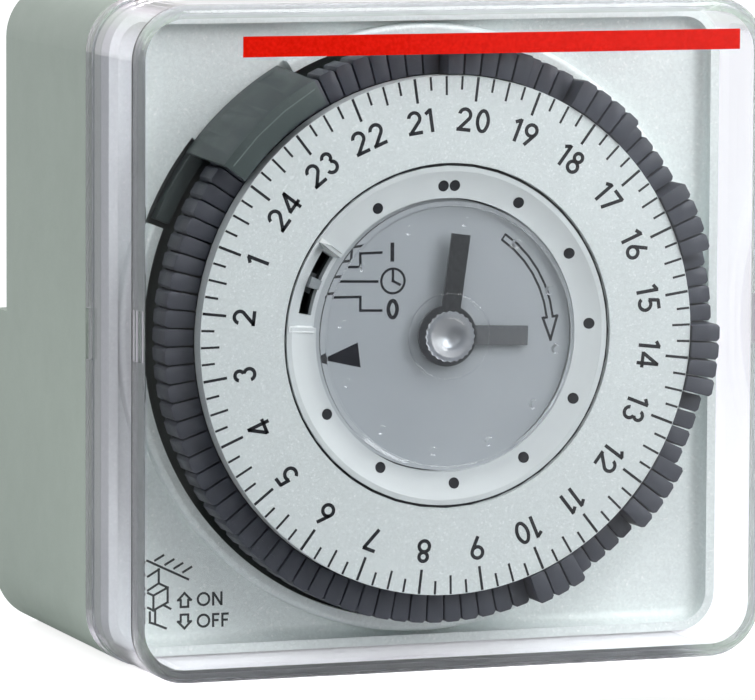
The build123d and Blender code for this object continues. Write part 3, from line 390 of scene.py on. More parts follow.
@dataclass(frozen=True)
class MouldedPlastic(Finish):
    """Opaque moulded plastic with a spark-eroded grain, faint flow clouds and fine specks."""

    colour: Colour
    roughness: float = 0.45
    grain: float = 5200.0
    grain_depth: float = 0.012
    cloud: float = 0.03
    speck: float = 0.03
    gloss: float = 0.5
    clouds_per_metre: float = 130.0
    specks_per_metre: float = 7600.0
    wear_per_metre: float = 420.0
    coarse_share: float = 0.22

    def paint(self, sheet: NodeSheet) -> None:
        """Lays clouds, specks, uneven roughness and grain.

        Args:
            sheet: Sheet to lay them on.
        """
        shader = sheet.principled(specular_ior_level=self.gloss)
        dark, light = toned(self.colour, 1 - self.cloud), toned(self.colour, 1 + self.cloud)
        flow = sheet.remap(sheet.noise(self.clouds_per_metre, 3), SWING, UNIT)
        dots = sheet.noise(self.specks_per_metre, 1)
        specks = sheet.remap(dots, (0.3, 0.75), (1 - self.speck, 1 + self.speck))
        scaled = sheet.add("ShaderNodeVectorMath", operation="SCALE")
        sheet.join(sheet.blend(flow, dark, light), scaled.inputs[0])
        sheet.join(specks, scaled.inputs["Scale"])
        worn = sheet.noise(self.wear_per_metre, 4)
        rough = sheet.remap(worn, SWING, (self.roughness - 0.05, self.roughness + 0.06))
        coarse = sheet.noise(self.grain * self.coarse_share)
        under = sheet.bump(coarse, self.grain_depth, 0.35)
        fine = sheet.bump(sheet.noise(self.grain), self.grain_depth, 0.6, under)
        sheet.coat(shader, scaled.outputs[0], rough, fine)


@dataclass(frozen=True)
class SparklePlastic(Finish):
    """Silver-grey plastic with fine flakes that catch the light."""

    colour: Colour
    flake: Colour
    flakes_per_metre: float
    share: float
    roughness: float = 0.4
    unevenness: float = 0.05
    flake_strength: float = 0.6
    sheen: float = 0.1
    waves_per_metre: float = 300.0

    def paint(self, sheet: NodeSheet) -> None:
        """Lays the flakes over a slightly clouded ground.

        Args:
            sheet: Sheet to lay them on.
        """
        shader = sheet.principled(metallic=self.sheen)
        split = sheet.add("ShaderNodeSeparateColor")
        sheet.join(sheet.cells(self.flakes_per_metre).outputs["Color"], split.inputs[0])
        tone = sheet.remap(split.outputs[0], UNIT, UNIT)
        dark = toned(self.colour, 1 - self.unevenness)
        light = toned(self.colour, 1 + self.unevenness)
        ground = sheet.blend(tone, dark, light)
        bright = sheet.remap(split.outputs[1], (1 - self.share, 1.0), (0.0, self.flake_strength))
        rough = sheet.remap(split.outputs[2], UNIT, (self.roughness - 0.1, self.roughness + 0.1))
        under = sheet.bump(sheet.noise(self.waves_per_metre, 3), 0.02, 0.15)
        flat = sheet.bump(split.outputs[0], 0.006, 0.5, under)
        sheet.coat(shader, sheet.blend(bright, ground, self.flake), rough, flat)


@dataclass(frozen=True)
class ClearPlastic(Finish):
    """Polished clear plastic, a little tinted, that lets the lamps through.

    A moulding that is thick at its edges can have a deeper tint there, from so many millimetres
    to the side of its middle or above and below it.
    """

    tint: Colour
    roughness: float
    ior: float = 1.49
    shadow: Colour = (0.97, 0.97, 0.98)
    edge_tint: Colour | None = None
    edge_from: float = 34.4
    edge_blend: float = 0.8
    marks_per_metre: float = 900.0
    waves_per_metre: float = 60.0

    def edges(self, sheet: NodeSheet) -> Socket:
        """Blends the tint into the deeper one of the edges.

        Args:
            sheet: Sheet to lay the blend on.

        Returns:
            The tint.
        """
        split = sheet.add("ShaderNodeSeparateXYZ")
        sheet.join(sheet.where, split.inputs[0])
        side = sheet.calculate("ABSOLUTE", split.outputs["X"])
        level = sheet.calculate("SUBTRACT", split.outputs["Z"], DIAL_HEIGHT * MM)
        outward = sheet.calculate("MAXIMUM", side, sheet.calculate("ABSOLUTE", level))
        ends = (self.edge_from * MM, (self.edge_from + self.edge_blend) * MM)
        return sheet.blend(sheet.remap(outward, ends, UNIT), self.tint, self.edge_tint)

    def paint(self, sheet: NodeSheet) -> None:
        """Lays the clear body with faint handling marks, and a clear way for shadow rays.

        Args:
            sheet: Sheet to lay them on.
        """
        shader = sheet.principled(transmission_weight=1.0, ior=self.ior, base_color=self.tint)
        tint = None if self.edge_tint is None else self.edges(sheet)
        marks = sheet.noise(self.marks_per_metre, 5)
        rough = sheet.remap(marks, (0.35, 0.75), (self.roughness, self.roughness + 0.03))
        wavy = sheet.bump(sheet.noise(self.waves_per_metre, 1), 0.05, 0.06)
        sheet.coat(shader, tint, rough, wavy)
        through = sheet.add("ShaderNodeBsdfTransparent")
        through.inputs["Color"].default_value = (*self.shadow, 1.0)
        path = sheet.add("ShaderNodeLightPath")
        sheet.either(path.outputs["Is Shadow Ray"], shader, through)


@dataclass(frozen=True)
class Ink(Finish):
    """Screen-printed ink, slightly uneven in tone and gloss."""

    colour: Colour
    roughness: float = 0.42
    gloss: float = 0.4
    thinned: float = 1.18
    tones_per_metre: float = 2600.0
    wear_per_metre: float = 900.0
    screen_per_metre: float = 9000.0

    def paint(self, sheet: NodeSheet) -> None:
        """Lays the ink's uneven tone and its faint screen texture.

        Args:
            sheet: Sheet to lay them on.
        """
        shader = sheet.principled(specular_ior_level=self.gloss)
        thin = toned(self.colour, self.thinned, 0.004)
        tone = sheet.remap(sheet.noise(self.tones_per_metre, 3), (0.35, 0.7), UNIT)
        worn = sheet.noise(self.wear_per_metre)
        rough = sheet.remap(worn, SWING, (self.roughness, self.roughness + 0.1))
        screen = sheet.bump(sheet.noise(self.screen_per_metre, 1), 0.004, 0.4)
        sheet.coat(shader, sheet.blend(tone, self.colour, thin), rough, screen)


@dataclass(frozen=True)
class Metal(Finish):
    """Bare or plated metal with drawing marks along one axis and duller patches."""

    colour: Colour
    roughness: float
    drawn: Place = (1.0, 1.0, 12.0)
    patch: float = 0.1
    marks_per_metre: float = 900.0
    patches_per_metre: float = 260.0

    def paint(self, sheet: NodeSheet) -> None:
        """Lays the drawing marks and the patches.

        Args:
            sheet: Sheet to lay them on.
        """
        shader = sheet.principled(metallic=1.0)
        marks = sheet.noise(self.marks_per_metre, 3, sheet.stretched(self.drawn))
        tone = sheet.remap(sheet.noise(self.patches_per_metre, 3), (0.35, 0.7), UNIT)
        duller = sheet.blend(tone, self.colour, toned(self.colour, 1 - self.patch))
        rough = sheet.remap(marks, SWING, (self.roughness - 0.08, self.roughness + 0.12))
        sheet.coat(shader, duller, rough, sheet.bump(marks, 0.006, 0.35))


class Look(Enum):
    """Every finish on the switch."""

    CLEAR = ClearPlastic(
        "clear_polished", (0.943, 0.956, 0.955), 0.01, edge_tint=(0.93, 0.87, 0.98)
    )
    CLEAR_DISC = ClearPlastic("clear_disc", (0.985, 0.99, 1.0), 0.02)
    FROSTED = ClearPlastic("clear_frosted", (0.95, 0.98, 1.0), 0.3)
    CASING = MouldedPlastic("casing_grain", shade(190, 203, 192), 0.5, 4200, 0.02, 0.02, 0.03)
    PLATE = SparklePlastic("plate_sparkle", shade(223, 231, 230), shade(252, 254, 253), 4200, 0.07)
    TRIPPER = MouldedPlastic("tripper_slate", shade(63, 66, 75), 0.46, 5200, 0.008, 0.05, 0.05)
    LEVER = MouldedPlastic("lever_green_grey", shade(66, 76, 76), 0.4, 5200, 0.008, 0.05, 0.05)
    DIAL = SparklePlastic(
        "dial_satin", shade(205, 212, 213), shade(232, 236, 237), 6500, 0.1, 0.46
    )
    CLOCK_RING = MouldedPlastic("clock_ring_satin", shade(198, 204, 206), 0.34, 5200, 0.004)
    CLOCK_FACE = MouldedPlastic("clock_face_matt", shade(169, 175, 178), 0.48, 5200, 0.004)
    HANDS = Ink("hand_paint", shade(92, 95, 97), 0.4)
    NATURAL = MouldedPlastic("natural_acetal", shade(226, 224, 216), 0.38, 5200, 0.006)
    KNOB = MouldedPlastic("lever_knob", shade(132, 138, 142), 0.3, 5200, 0.004)
    LIP = MouldedPlastic("window_lip", shade(222, 226, 226), 0.3, 5200, 0.004)
    # partly painted shade: the carrier and the chassis are darkened so that the gaps round the dial
    # and the lever's bar, where they show through, read as shadow
    CARRIER = MouldedPlastic("carrier_green_grey", shade(62, 69, 68), 0.34, 5200, 0.008)
    CHASSIS = MouldedPlastic("chassis_grey", shade(74, 81, 79), 0.36, 5200, 0.008)
    # painted highlight: a lighter line along the crease of the lever's hood, where its edge would
    # catch the light
    RUB = Ink("rubbed_edge", shade(98, 108, 106), 0.35)
    # painted shade: near-black, so that the slot in the clock's window, where this drum shows
    # through, reads as dark shade
    CHARCOAL = MouldedPlastic("charcoal_moulding", shade(36, 39, 40), 0.5, 5200, 0.008)
    BLACK = MouldedPlastic("black_phenolic", shade(40, 40, 42), 0.42, 4200, 0.012, 0.08, 0.06)
    STEEL = Metal("screw_steel", shade(198, 198, 200), 0.26)
    ZINC = Metal("zinc_plate", shade(196, 200, 202), 0.36, (1.0, 6.0, 1.0), 0.16)
    BRASS = Metal("drawn_brass", shade(214, 182, 112), 0.28, (9.0, 1.0, 1.0), 0.14)
    PRINT = Ink("dark_print", shade(22, 24, 30))
    FINE_PRINT = Ink("fine_print", shade(50, 54, 56))
    STRIPE = Ink("red_stripe", shade(206, 24, 8), 0.6, 0.0)

    def dress(self, piece: Piece) -> None:
        """Puts the finish on a piece, in place of what it has."""
        piece.data.materials.clear()
        piece.data.materials.append(self.value.material())


# ------------------------------------------------------------------------------------ mesh helpers


def link(name: str, data: bpy.types.ID) -> Piece:
    """Makes an object of some data and links it to the scene.

    Args:
        name: Name of the object.
        data: Mesh, lamp or camera.

    Returns:
        The new object.
    """
    thing = bpy.data.objects.new(name, data)
    bpy.context.scene.collection.objects.link(thing)
    return thing


def from_mesh(name: str, mesh: bmesh.types.BMesh) -> Piece:
    """Makes an object of a bmesh.

    Args:
        name: Name of the object.
        mesh: Its mesh, which is freed.

    Returns:
        The new object.
    """
    data = bpy.data.meshes.new(name)
    mesh.to_mesh(data)
    mesh.free()
    return link(name, data)


def add_piece(
    name: str, mesh: bmesh.types.BMesh, look: Look, body: str
) -> Piece:
    """Turns a bmesh into a dressed piece that rides a body.

    Args:
        name: Name of the piece.
        mesh: Its mesh in the row frame, which is freed.
        look: Its finish.
        body: The body that it rides.

    Returns:
        The new object.
    """
    piece = from_mesh(name, mesh)
    look.dress(piece)
    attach(piece, body)
    LOG.info("piece %s: %d faces on %s", name, len(piece.data.polygons), body)
    return piece


def turned(profile: Sequence[Point], closed: bool = False) -> bmesh.types.BMesh:
    """Turns a profile about the axis of the dial.

    Args:
        profile: Points of radius and depth in millimetres.
        closed: True for a ring, whose last point joins the first.

    Returns:
        The turned mesh in the row frame.
    """
    mesh = bmesh.new()
    line = [mesh.verts.new(place(radius, 0.0, depth)) for radius, depth in profile]
    steps = list(zip(line, line[1:] + line[:1] if closed else line[1:]))
    edges = [mesh.edges.new(pair) for pair in steps]
    bmesh.ops.spin(
        mesh,
        geom=line + edges,
        cent=place(0.0, 0.0, 0.0),
        axis=(0, 1, 0),
        angle=math.tau,
        steps=TURN_STEPS,
        use_merge=True,
    )
    bmesh.ops.remove_doubles(mesh, verts=mesh.verts, dist=TURN_WELD * MM)
    bmesh.ops.recalc_face_normals(mesh, faces=mesh.faces)
    for face in mesh.faces:
        face.smooth = True
    return mesh


def bead(radius: float, depth: float, half: float, sides: int = 8) -> list[Point]:
    """Gives the round section of a bead that stands on a surface.

    Args:
        radius: Radius at the middle of the bead.
        depth: Depth of the surface.
        half: Half the width of the bead, in millimetres.
        sides: Sides of its section.

    Returns:
        The points of the section.
    """
    turns = [math.radians(360 / sides * step) for step in range(sides)]
    return [(radius + half * math.cos(t), depth - half - half * math.sin(t)) for t in turns]


@dataclass(frozen=True)
class EdgeSoftener:
    """Makes a copy of a CAD node whose sharp edges are rounded over a little."""

    width: float
    segments: int = 2
    sharp_from: float = 32.0
    smooth_below: float = 38.0
    flat_below: float = 0.4
    weld: float = 0.002

    def copy(self, node: Piece, name: str, look: Look, body: str, slot: str) -> Piece:
        """Builds the copy, which stands for the node.

        Args:
            node: The CAD node.
            name: Name of the copy.
            look: Finish of the copy.
            body: Body that it rides.
            slot: The record's material slot; not used.

        Returns:
            The softened piece.
        """
        mesh = bmesh.new()
        mesh.from_mesh(node.data)
        bmesh.ops.remove_doubles(mesh, verts=mesh.verts, dist=self.weld * MM)
        bmesh.ops.dissolve_limit(
            mesh,
            angle_limit=math.radians(self.flat_below),
            use_dissolve_boundaries=False,
            verts=mesh.verts,
            edges=mesh.edges,
        )
        sharp, smooth = math.radians(self.sharp_from), math.radians(self.smooth_below)
        rims = [e for e in mesh.edges if len(e.link_faces) == 2 and e.calc_face_angle() > sharp]
        bmesh.ops.bevel(
            mesh,
            geom=rims,
            offset=self.width * MM,
            offset_type="OFFSET",
            affect="EDGES",
            segments=self.segments,
            profile=0.5,
            material=-1,
            clamp_overlap=True,
        )
        for face in mesh.faces:
            face.smooth = True
        for edge in mesh.edges:
            edge.smooth = len(edge.link_faces) == 2 and edge.calc_face_angle() < smooth
        piece = add_piece(name, mesh, look, body)
        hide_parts(node.name)
        return piece


# ------------------------------------------------------------------------------------ print


@dataclass(frozen=True)
class Bar:
    """A straight stroke."""

    start: Point
    end: Point

    def lay(self, layer: "PrintLayer", weight: float) -> None:
        """Lays the stroke on a print layer."""
        layer.bar(self.start, self.end, weight)


@dataclass(frozen=True)
class Sweep:
    """A curved stroke, part of a circle, with angles in degrees anticlockwise from the right."""

    centre: Point
    radius: float
    start: float
    turn: float

    def lay(self, layer: "PrintLayer", weight: float) -> None:
        """Lays the stroke on a print layer."""
        layer.arc(self.centre, self.radius, self.start, self.turn, weight)


def oval(
    width: float, height: float, corner: float = 35.0, inset: float = 0.07
) -> tuple[Sweep, ...]:
    """Makes an upright oval stroke of four arcs, for a nought.

    Args:
        width: Width between stroke middles.
        height: Height between stroke middles.
        corner: Degrees above the level at which side and end arcs meet.
        inset: Place of the oval's left edge and of its foot.

    Returns:
        The four strokes.
    """
    half, rise = width / 2, height / 2
    sine, cosine = math.sin(math.radians(corner)), math.cos(math.radians(corner))
    excess = (rise - half) / (sine + cosine - 1)
    end = rise - excess * sine
    side = end + excess
    across, up = half + inset, rise + inset
    shift = excess * cosine
    lift = excess * sine
    return (
        Sweep((across, up + lift), end, corner, 180 - 2 * corner),
        Sweep((across, up - lift), end, 180 + corner, 180 - 2 * corner),
        Sweep((across - shift, up), side, -corner, 2 * corner),
        Sweep((across + shift, up), side, 180 - corner, 2 * corner),
    )


@dataclass(frozen=True)
class Glyph:
    """A figure or letter of cap height 1, as strokes, with its width."""

    width: float
    strokes: tuple[Bar | Sweep, ...]


GLYPHS: dict[str, Glyph] = {
    "0": Glyph(0.62, oval(0.48, 0.86)),
    "1": Glyph(0.30, (Bar((0.23, 0.0), (0.23, 1.0)), Bar((0.0, 0.79), (0.24, 0.955)))),
    "2": Glyph(
        0.64,
        (
            Sweep((0.32, 0.685), 0.245, 172, -212),
            Bar((0.515, 0.538), (0.06, 0.04)),
            Bar((0.0, 0.068), (0.63, 0.068)),
        ),
    ),
    "3": Glyph(
        0.60, (Sweep((0.29, 0.735), 0.197, 165, -240), Sweep((0.28, 0.302), 0.235, 75, -245))
    ),
    "4": Glyph(
        0.68,
        (
            Bar((0.49, 0.0), (0.49, 1.0)),
            Bar((0.50, 0.965), (0.05, 0.25)),
            Bar((0.0, 0.255), (0.68, 0.255)),
        ),
    ),
    "5": Glyph(
        0.60,
        (
            Bar((0.15, 0.932), (0.56, 0.932)),
            Bar((0.20, 0.96), (0.11, 0.50)),
            Sweep((0.27, 0.325), 0.258, 128, -275),
        ),
    ),
    "6": Glyph(0.64, (Sweep((0.32, 0.305), 0.238, 0, 360), Bar((0.44, 0.985), (0.125, 0.45)))),
    "7": Glyph(0.58, (Bar((0.0, 0.932), (0.57, 0.932)), Bar((0.525, 0.95), (0.15, 0.0)))),
    "8": Glyph(0.60, (Sweep((0.30, 0.745), 0.187, 0, 360), Sweep((0.30, 0.298), 0.230, 0, 360))),
    "9": Glyph(0.64, (Sweep((0.32, 0.695), 0.238, 0, 360), Bar((0.20, 0.015), (0.515, 0.55)))),
    "O": Glyph(1.0, (Sweep((0.5, 0.5), 0.43, 0, 360),)),
    "N": Glyph(
        0.76,
        (
            Bar((0.068, 0.0), (0.068, 1.0)),
            Bar((0.69, 0.0), (0.69, 1.0)),
            Bar((0.068, 0.97), (0.69, 0.03)),
        ),
    ),
    "F": Glyph(
        0.54,
        (
            Bar((0.068, 0.0), (0.068, 1.0)),
            Bar((0.0, 0.932), (0.54, 0.932)),
            Bar((0.05, 0.50), (0.48, 0.50)),
        ),
    ),
}


def text_width(words: str, spacing: float = LETTER_GAP) -> float:
    """Gives the width of words in cap heights.

    Args:
        words: The words.
        spacing: Gap between characters, in cap heights.

    Returns:
        The width.
    """
    return sum(GLYPHS[letter].width for letter in words) + spacing * (len(words) - 1)


class PrintLayer:
    """Flat ink work, drawn in plan millimetres and then laid on the surface of a CAD node."""

    BAR_STEP = 1.5
    ARC_STEP = 9.0
    DISC_SIDES = 28

    def __init__(self, weight: float = 0.25) -> None:
        """Starts an empty layer.

        Args:
            weight: Usual stroke width in millimetres.
        """
        self.weight = weight
        self.mesh = bmesh.new()

    def bar(self, start: Point, end: Point, weight: float | None = None) -> None:
        """Draws a straight stroke with square ends.

        Args:
            start: One end.
            end: The other end.
            weight: Stroke width, or None for the usual one.
        """
        first, second = Vector(start), Vector(end)
        run = second - first
        middle = (first + second) / 2
        turn = Matrix.Rotation(math.atan2(run.y, run.x), 4, "Z")
        size = Matrix.Diagonal((run.length, weight or self.weight, 1.0, 1.0))
        bmesh.ops.create_grid(
            self.mesh,
            x_segments=max(1, round(run.length / self.BAR_STEP)),
            y_segments=1,
            size=0.5,
            matrix=Matrix.Translation(middle.to_3d()) @ turn @ size,
        )

    def arc(
        self, centre: Point, radius: float, start: float, turn: float, weight: float | None = None
    ) -> None:
        """Draws part of a circle.

        Args:
            centre: Middle of the circle.
            radius: Radius at the middle of the stroke.
            start: Angle at which it starts, in degrees.
            turn: Degrees that it turns, negative for clockwise.
            weight: Stroke width, or None for the usual one.
        """
        half = (weight or self.weight) / 2
        middle = Vector((*centre, 0.0))
        ends = [
            self.mesh.verts.new(middle + Vector((radius - half, 0, 0))),
            self.mesh.verts.new(middle + Vector((radius + half, 0, 0))),
        ]
        edge = self.mesh.edges.new(ends)
        spin = Matrix.Rotation(math.radians(start), 3, "Z")
        bmesh.ops.rotate(self.mesh, cent=middle, matrix=spin, verts=ends)
        bmesh.ops.spin(
            self.mesh,
            geom=[*ends, edge],
            cent=middle,
            axis=(0, 0, 1),
            angle=math.radians(turn),
            steps=max(3, math.ceil(abs(turn) / self.ARC_STEP)),
            use_merge=abs(turn) >= 360,
        )

    def disc(self, centre: Point, radius: float) -> None:
        """Draws a filled disc.

        Args:
            centre: Its middle.
            radius: Its radius.
        """
        bmesh.ops.create_circle(
            self.mesh,
            cap_ends=True,
            segments=self.DISC_SIDES,
            radius=radius,
            matrix=Matrix.Translation((*centre, 0.0)),
        )

    def patch(self, corners: Iterable[Point]) -> None:
        """Fills a polygon.

        Args:
            corners: Its corners in order.
        """
        self.mesh.faces.new([self.mesh.verts.new((*corner, 0.0)) for corner in corners])

    def path(self, points: Sequence[Point], closed: bool = False) -> None:
        """Draws straight strokes from point to point, lapped at the corners.

        Args:
            points: The points in order.
            closed: True if the last joins the first.
        """
        ends = [*points, points[0]] if closed else list(points)
        for first, second in zip(ends, ends[1:]):
            run = (Vector(second) - Vector(first)).normalized() * self.weight / 2
            self.bar(tuple(Vector(first) - run), tuple(Vector(second) + run))

    def text(
        self, words: str, centre: Point, height: float, turn: float = 0, spacing: float = LETTER_GAP
    ) -> None:
        """Draws figures or letters.

        Args:
            words: What to draw.
            centre: Middle of the words.
            height: Cap height in millimetres.
            turn: Degrees that the words lean anticlockwise.
            spacing: Gap between characters, in cap heights.
        """
        count = len(self.mesh.verts)
        left = -text_width(words, spacing) / 2
        for glyph in (GLYPHS[letter] for letter in words):
            begun = len(self.mesh.verts)
            for stroke in glyph.strokes:
                stroke.lay(self, self.weight / height)
            self.mesh.verts.ensure_lookup_table()
            bmesh.ops.translate(self.mesh, vec=(left, -0.5, 0), verts=self.mesh.verts[begun:])
            left += glyph.width + spacing
        self.mesh.verts.ensure_lookup_table()
        move = (
            Matrix.Translation((*centre, 0.0))
            @ Matrix.Rotation(math.radians(turn), 4, "Z")
            @ Matrix.Diagonal((height, height, 1.0, 1.0))
        )
        bmesh.ops.transform(self.mesh, matrix=move, verts=self.mesh.verts[count:])

    def settle(
        self,
        name: str,
        look: Look,
        body: str,
        node: Piece | None = None,
        depth: float = 0.0,
        proud: float = 0.012,
        thickness: float = 0.03,
    ) -> Piece:
        """Lays the ink on a node's front surface, or at one depth, and gives it a thickness.

        Args:
            name: Name of the piece.
            look: Its finish.
            body: Body that it rides.
            node: Node whose front surface carries it, or None for a level layer.
            depth: Depth of a level layer.
            proud: Millimetres that the ink stands in front of the surface.
            thickness: Millimetres from the front of the ink to its back.

        Returns:
            The finished piece.
        """
        for vert in self.mesh.verts:
            u, v, _ = vert.co
            spot = place(u, v, depth)
            if node is not None:
                hit, where, _, _ = node.ray_cast(place(u, v, IN_FRONT), Vector((0, 1, 0)))
                if not hit:
                    raise ValueError(f"{name}: nothing of {node.name} behind {u:.2f}, {v:.2f}")
                spot.y = where.y
            vert.co = spot - Vector((0, proud * MM, 0))
        made = bmesh.ops.extrude_face_region(self.mesh, geom=list(self.mesh.faces))
        moved = [item for item in made["geom"] if isinstance(item, bmesh.types.BMVert)]
        bmesh.ops.translate(self.mesh, vec=(0, thickness * MM, 0), verts=moved)
        bmesh.ops.recalc_face_normals(self.mesh, faces=self.mesh.faces)
        return add_piece(name, self.mesh, look, body)


# ------------------------------------------------------------------------------------ assemblies


@dataclass
class Assembly:
    """What every sub-assembly has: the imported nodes, and a way to finish some of them."""

    nodes: Nodes

    def finish(self, look: Look, *names: str) -> None:
        """Gives some nodes one finish.

        Args:
            look: The finish.
            *names: Names of the nodes.
        """
        for name in names:
            look.dress(self.nodes[name])
            LOG.info("node %s: %s", name, look.name)

    def dress(self) -> None:
        """Finishes the sub-assembly and adds its pieces."""
        raise NotImplementedError


@dataclass
class Case(Assembly):
    """The housing, the terminal cover behind it and the screws that hold them."""

    def dress(self) -> None:
        """Gives the mouldings their grain and the screws their steel."""
        self.finish(Look.CASING, "housing", "terminal_cover")
        self.finish(Look.STEEL, "terminal_cover_screws", "chassis_screws")


@dataclass
class FrontPlate(Assembly):
    """The sparkling front plate with its setting mark in the lower left corner."""

    cap_height: float = 1.5
    rows: Point = (-28.63, -30.97)
    arrow_u: float = -26.4
    arrow_half: float = 0.72
    arrow_stem: float = 0.42
    arrow_rise: float = 0.75
    words_left: float = -25.0
    hatch_feet: tuple[Point, ...] = (
        (-29.7, -24.2),
        (-28.55, -24.7),
        (-27.55, -25.15),
        (-26.55, -25.6),
    )
    hatch_run: Point = (0.9, 0.5)

    def arrow(self, layer: PrintLayer, row: float, way: int) -> None:
        """Draws one outlined arrow.

        Args:
            layer: Layer to draw on.
            row: Height of its middle.
            way: 1 for up and -1 for down.
        """
        half, stem, rise = self.arrow_half, self.arrow_stem, self.arrow_rise * way
        right = [(0, rise), (half, 0.0), (stem, 0.0), (stem, -rise)]
        left = [(-stem, -rise), (-stem, 0.0), (-half, 0.0)]
        layer.path([(self.arrow_u + x, row + y) for x, y in right + left], closed=True)

    def sketch(self, layer: PrintLayer) -> None:
        """Draws a plain sketch of a tripper that is pushed at the rim of the dial.

        Args:
            layer: Layer to draw on.
        """
        layer.path([(-30.6, -24.2), (-26.0, -26.4)])
        for u, v in self.hatch_feet:
            layer.path([(u, v), (u + self.hatch_run[0], v + self.hatch_run[1])])
        for line in (
            [(-30.5, -25.9), (-29.3, -25.2), (-29.3, -26.7), (-30.5, -27.4)],
            [(-29.3, -26.7), (-28.3, -27.2), (-28.3, -28.8), (-29.9, -29.6)],
            [(-28.3, -27.2), (-29.9, -28.0), (-29.9, -29.6), (-30.5, -29.3)],
            [(-29.9, -28.0), (-30.5, -27.7)],
            [(-28.7, -29.1), (-28.0, -29.5)],
            [(-30.3, -29.8), (-30.3, -30.9), (-29.7, -31.1), (-28.5, -31.6)],
            [(-29.7, -29.7), (-29.7, -31.1)],
        ):
            layer.path(line)

    def dress(self) -> None:
        """Finishes the plate and prints the setting mark."""
        self.finish(Look.PLATE, "front_plate")
        layer = PrintLayer()
        self.sketch(layer)
        for row, way, word in zip(self.rows, (1, -1), ("ON", "OFF")):
            self.arrow(layer, row, way)
            middle = self.words_left + text_width(word) * self.cap_height / 2
            layer.text(word, (middle, row), self.cap_height)
        layer.settle("setting_mark", Look.FINE_PRINT, "casing", self.nodes["front_plate"])


@dataclass
class ClearCover(Assembly):
    """The clear push-on cover with its printed stripe."""

    stripe_ends: Point = (-23.98, 32.42)
    stripe_foot: float = 30.3
    stripe_head: float = 32.5

    def dress(self) -> None:
        """Polishes the cover and prints the stripe just under its front face."""
        self.finish(Look.CLEAR, "clear_cover")
        layer = PrintLayer(self.stripe_head - self.stripe_foot)
        middle = (self.stripe_head + self.stripe_foot) / 2
        layer.bar(*((end, middle) for end in self.stripe_ends))
        layer.settle("cover_stripe", Look.STRIPE, "cover", depth=0.02, proud=0.0, thickness=0.04)


class Division(Enum):
    """The marks round the dial, as the radius that each reaches inwards and its width."""

    HOUR = (25.2, 0.3)
    HALF_HOUR = (25.78, 0.25)
    QUARTER = (26.37, 0.25)


@dataclass
class HourDial(Assembly):
    """The turning ring with its 24 hour figures and its 96 marks."""

    first_angle: float = 143.35
    hours: int = 24
    mark_outer: float = 27.83
    figure_radius: float = 23.2
    figure_height: float = 2.55
    figure_weight: float = 0.39
    figure_spacing: float = 0.19

    def division(self, quarter: int) -> Division:
        """Says which mark a quarter of an hour has.

        Args:
            quarter: Number of the quarter.

        Returns:
            The kind of mark.
        """
        if quarter % 4 == 0:
            return Division.HOUR
        return Division.HALF_HOUR if quarter % 2 == 0 else Division.QUARTER

    def dress(self) -> None:
        """Finishes the ring, its figures and its marks."""
        self.finish(Look.DIAL, "dial_ring")
        self.finish(Look.CARRIER, "dial_carrier")
        ring = self.nodes["dial_ring"]
        marks, figures = PrintLayer(), PrintLayer(self.figure_weight)
        hour_angle = 360 / self.hours
        for quarter in range(4 * self.hours):
            angle = self.first_angle + quarter * hour_angle / 4
            inner, weight = self.division(quarter).value
            marks.bar(polar(inner, angle), polar(self.mark_outer, angle), weight)
        marks.settle("dial_marks", Look.PRINT, "dial", ring)
        for hour in range(1, self.hours + 1):
            angle = self.first_angle + hour * hour_angle
            middle, turn = polar(self.figure_radius, angle), angle - 90
            figures.text(str(hour), middle, self.figure_height, turn, self.figure_spacing)
        figures.settle("dial_figures", Look.PRINT, "dial", ring)


@dataclass
class Trippers(Assembly):
    """The runs of captive trippers round the dial."""

    softener: EdgeSoftener = field(default_factory=lambda: EdgeSoftener(0.05))

    def dress(self) -> None:
        """Puts a softened run in the place of each packed one."""
        for name in sorted(name for name in self.nodes if name.startswith("trippers_")):
            self.softener.copy(
                self.nodes[name],
                name.replace("trippers", "tripper_run"),
                Look.TRIPPER,
                f"body_{name}",
                "slate_plastic",
            )


@dataclass
class TripLever(Assembly):
    """The lever with its hood over the trippers, and its pin."""

    crease_radius: float = 30.95
    crease_start: float = 120.2
    crease_turn: float = 22.4
    crease_width: float = 0.13
    softener: EdgeSoftener = field(default_factory=lambda: EdgeSoftener(0.12))

    def dress(self) -> None:
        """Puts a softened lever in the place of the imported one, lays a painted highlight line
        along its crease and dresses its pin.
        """
        # painted highlight: a lighter arc along the hood's crease, where the edge would catch the
        # light
        highlight_line = PrintLayer(self.crease_width)
        highlight_line.arc((0, 0), self.crease_radius, self.crease_start, self.crease_turn)
        lever = self.nodes["trip_lever"]
        highlight_line.settle("hood_rub", Look.RUB, "trip_work", lever)
        self.softener.copy(lever, "trip_hood", Look.LEVER, "trip_work", "lever_plastic")
        self.finish(Look.STEEL, "trip_lever_pin")


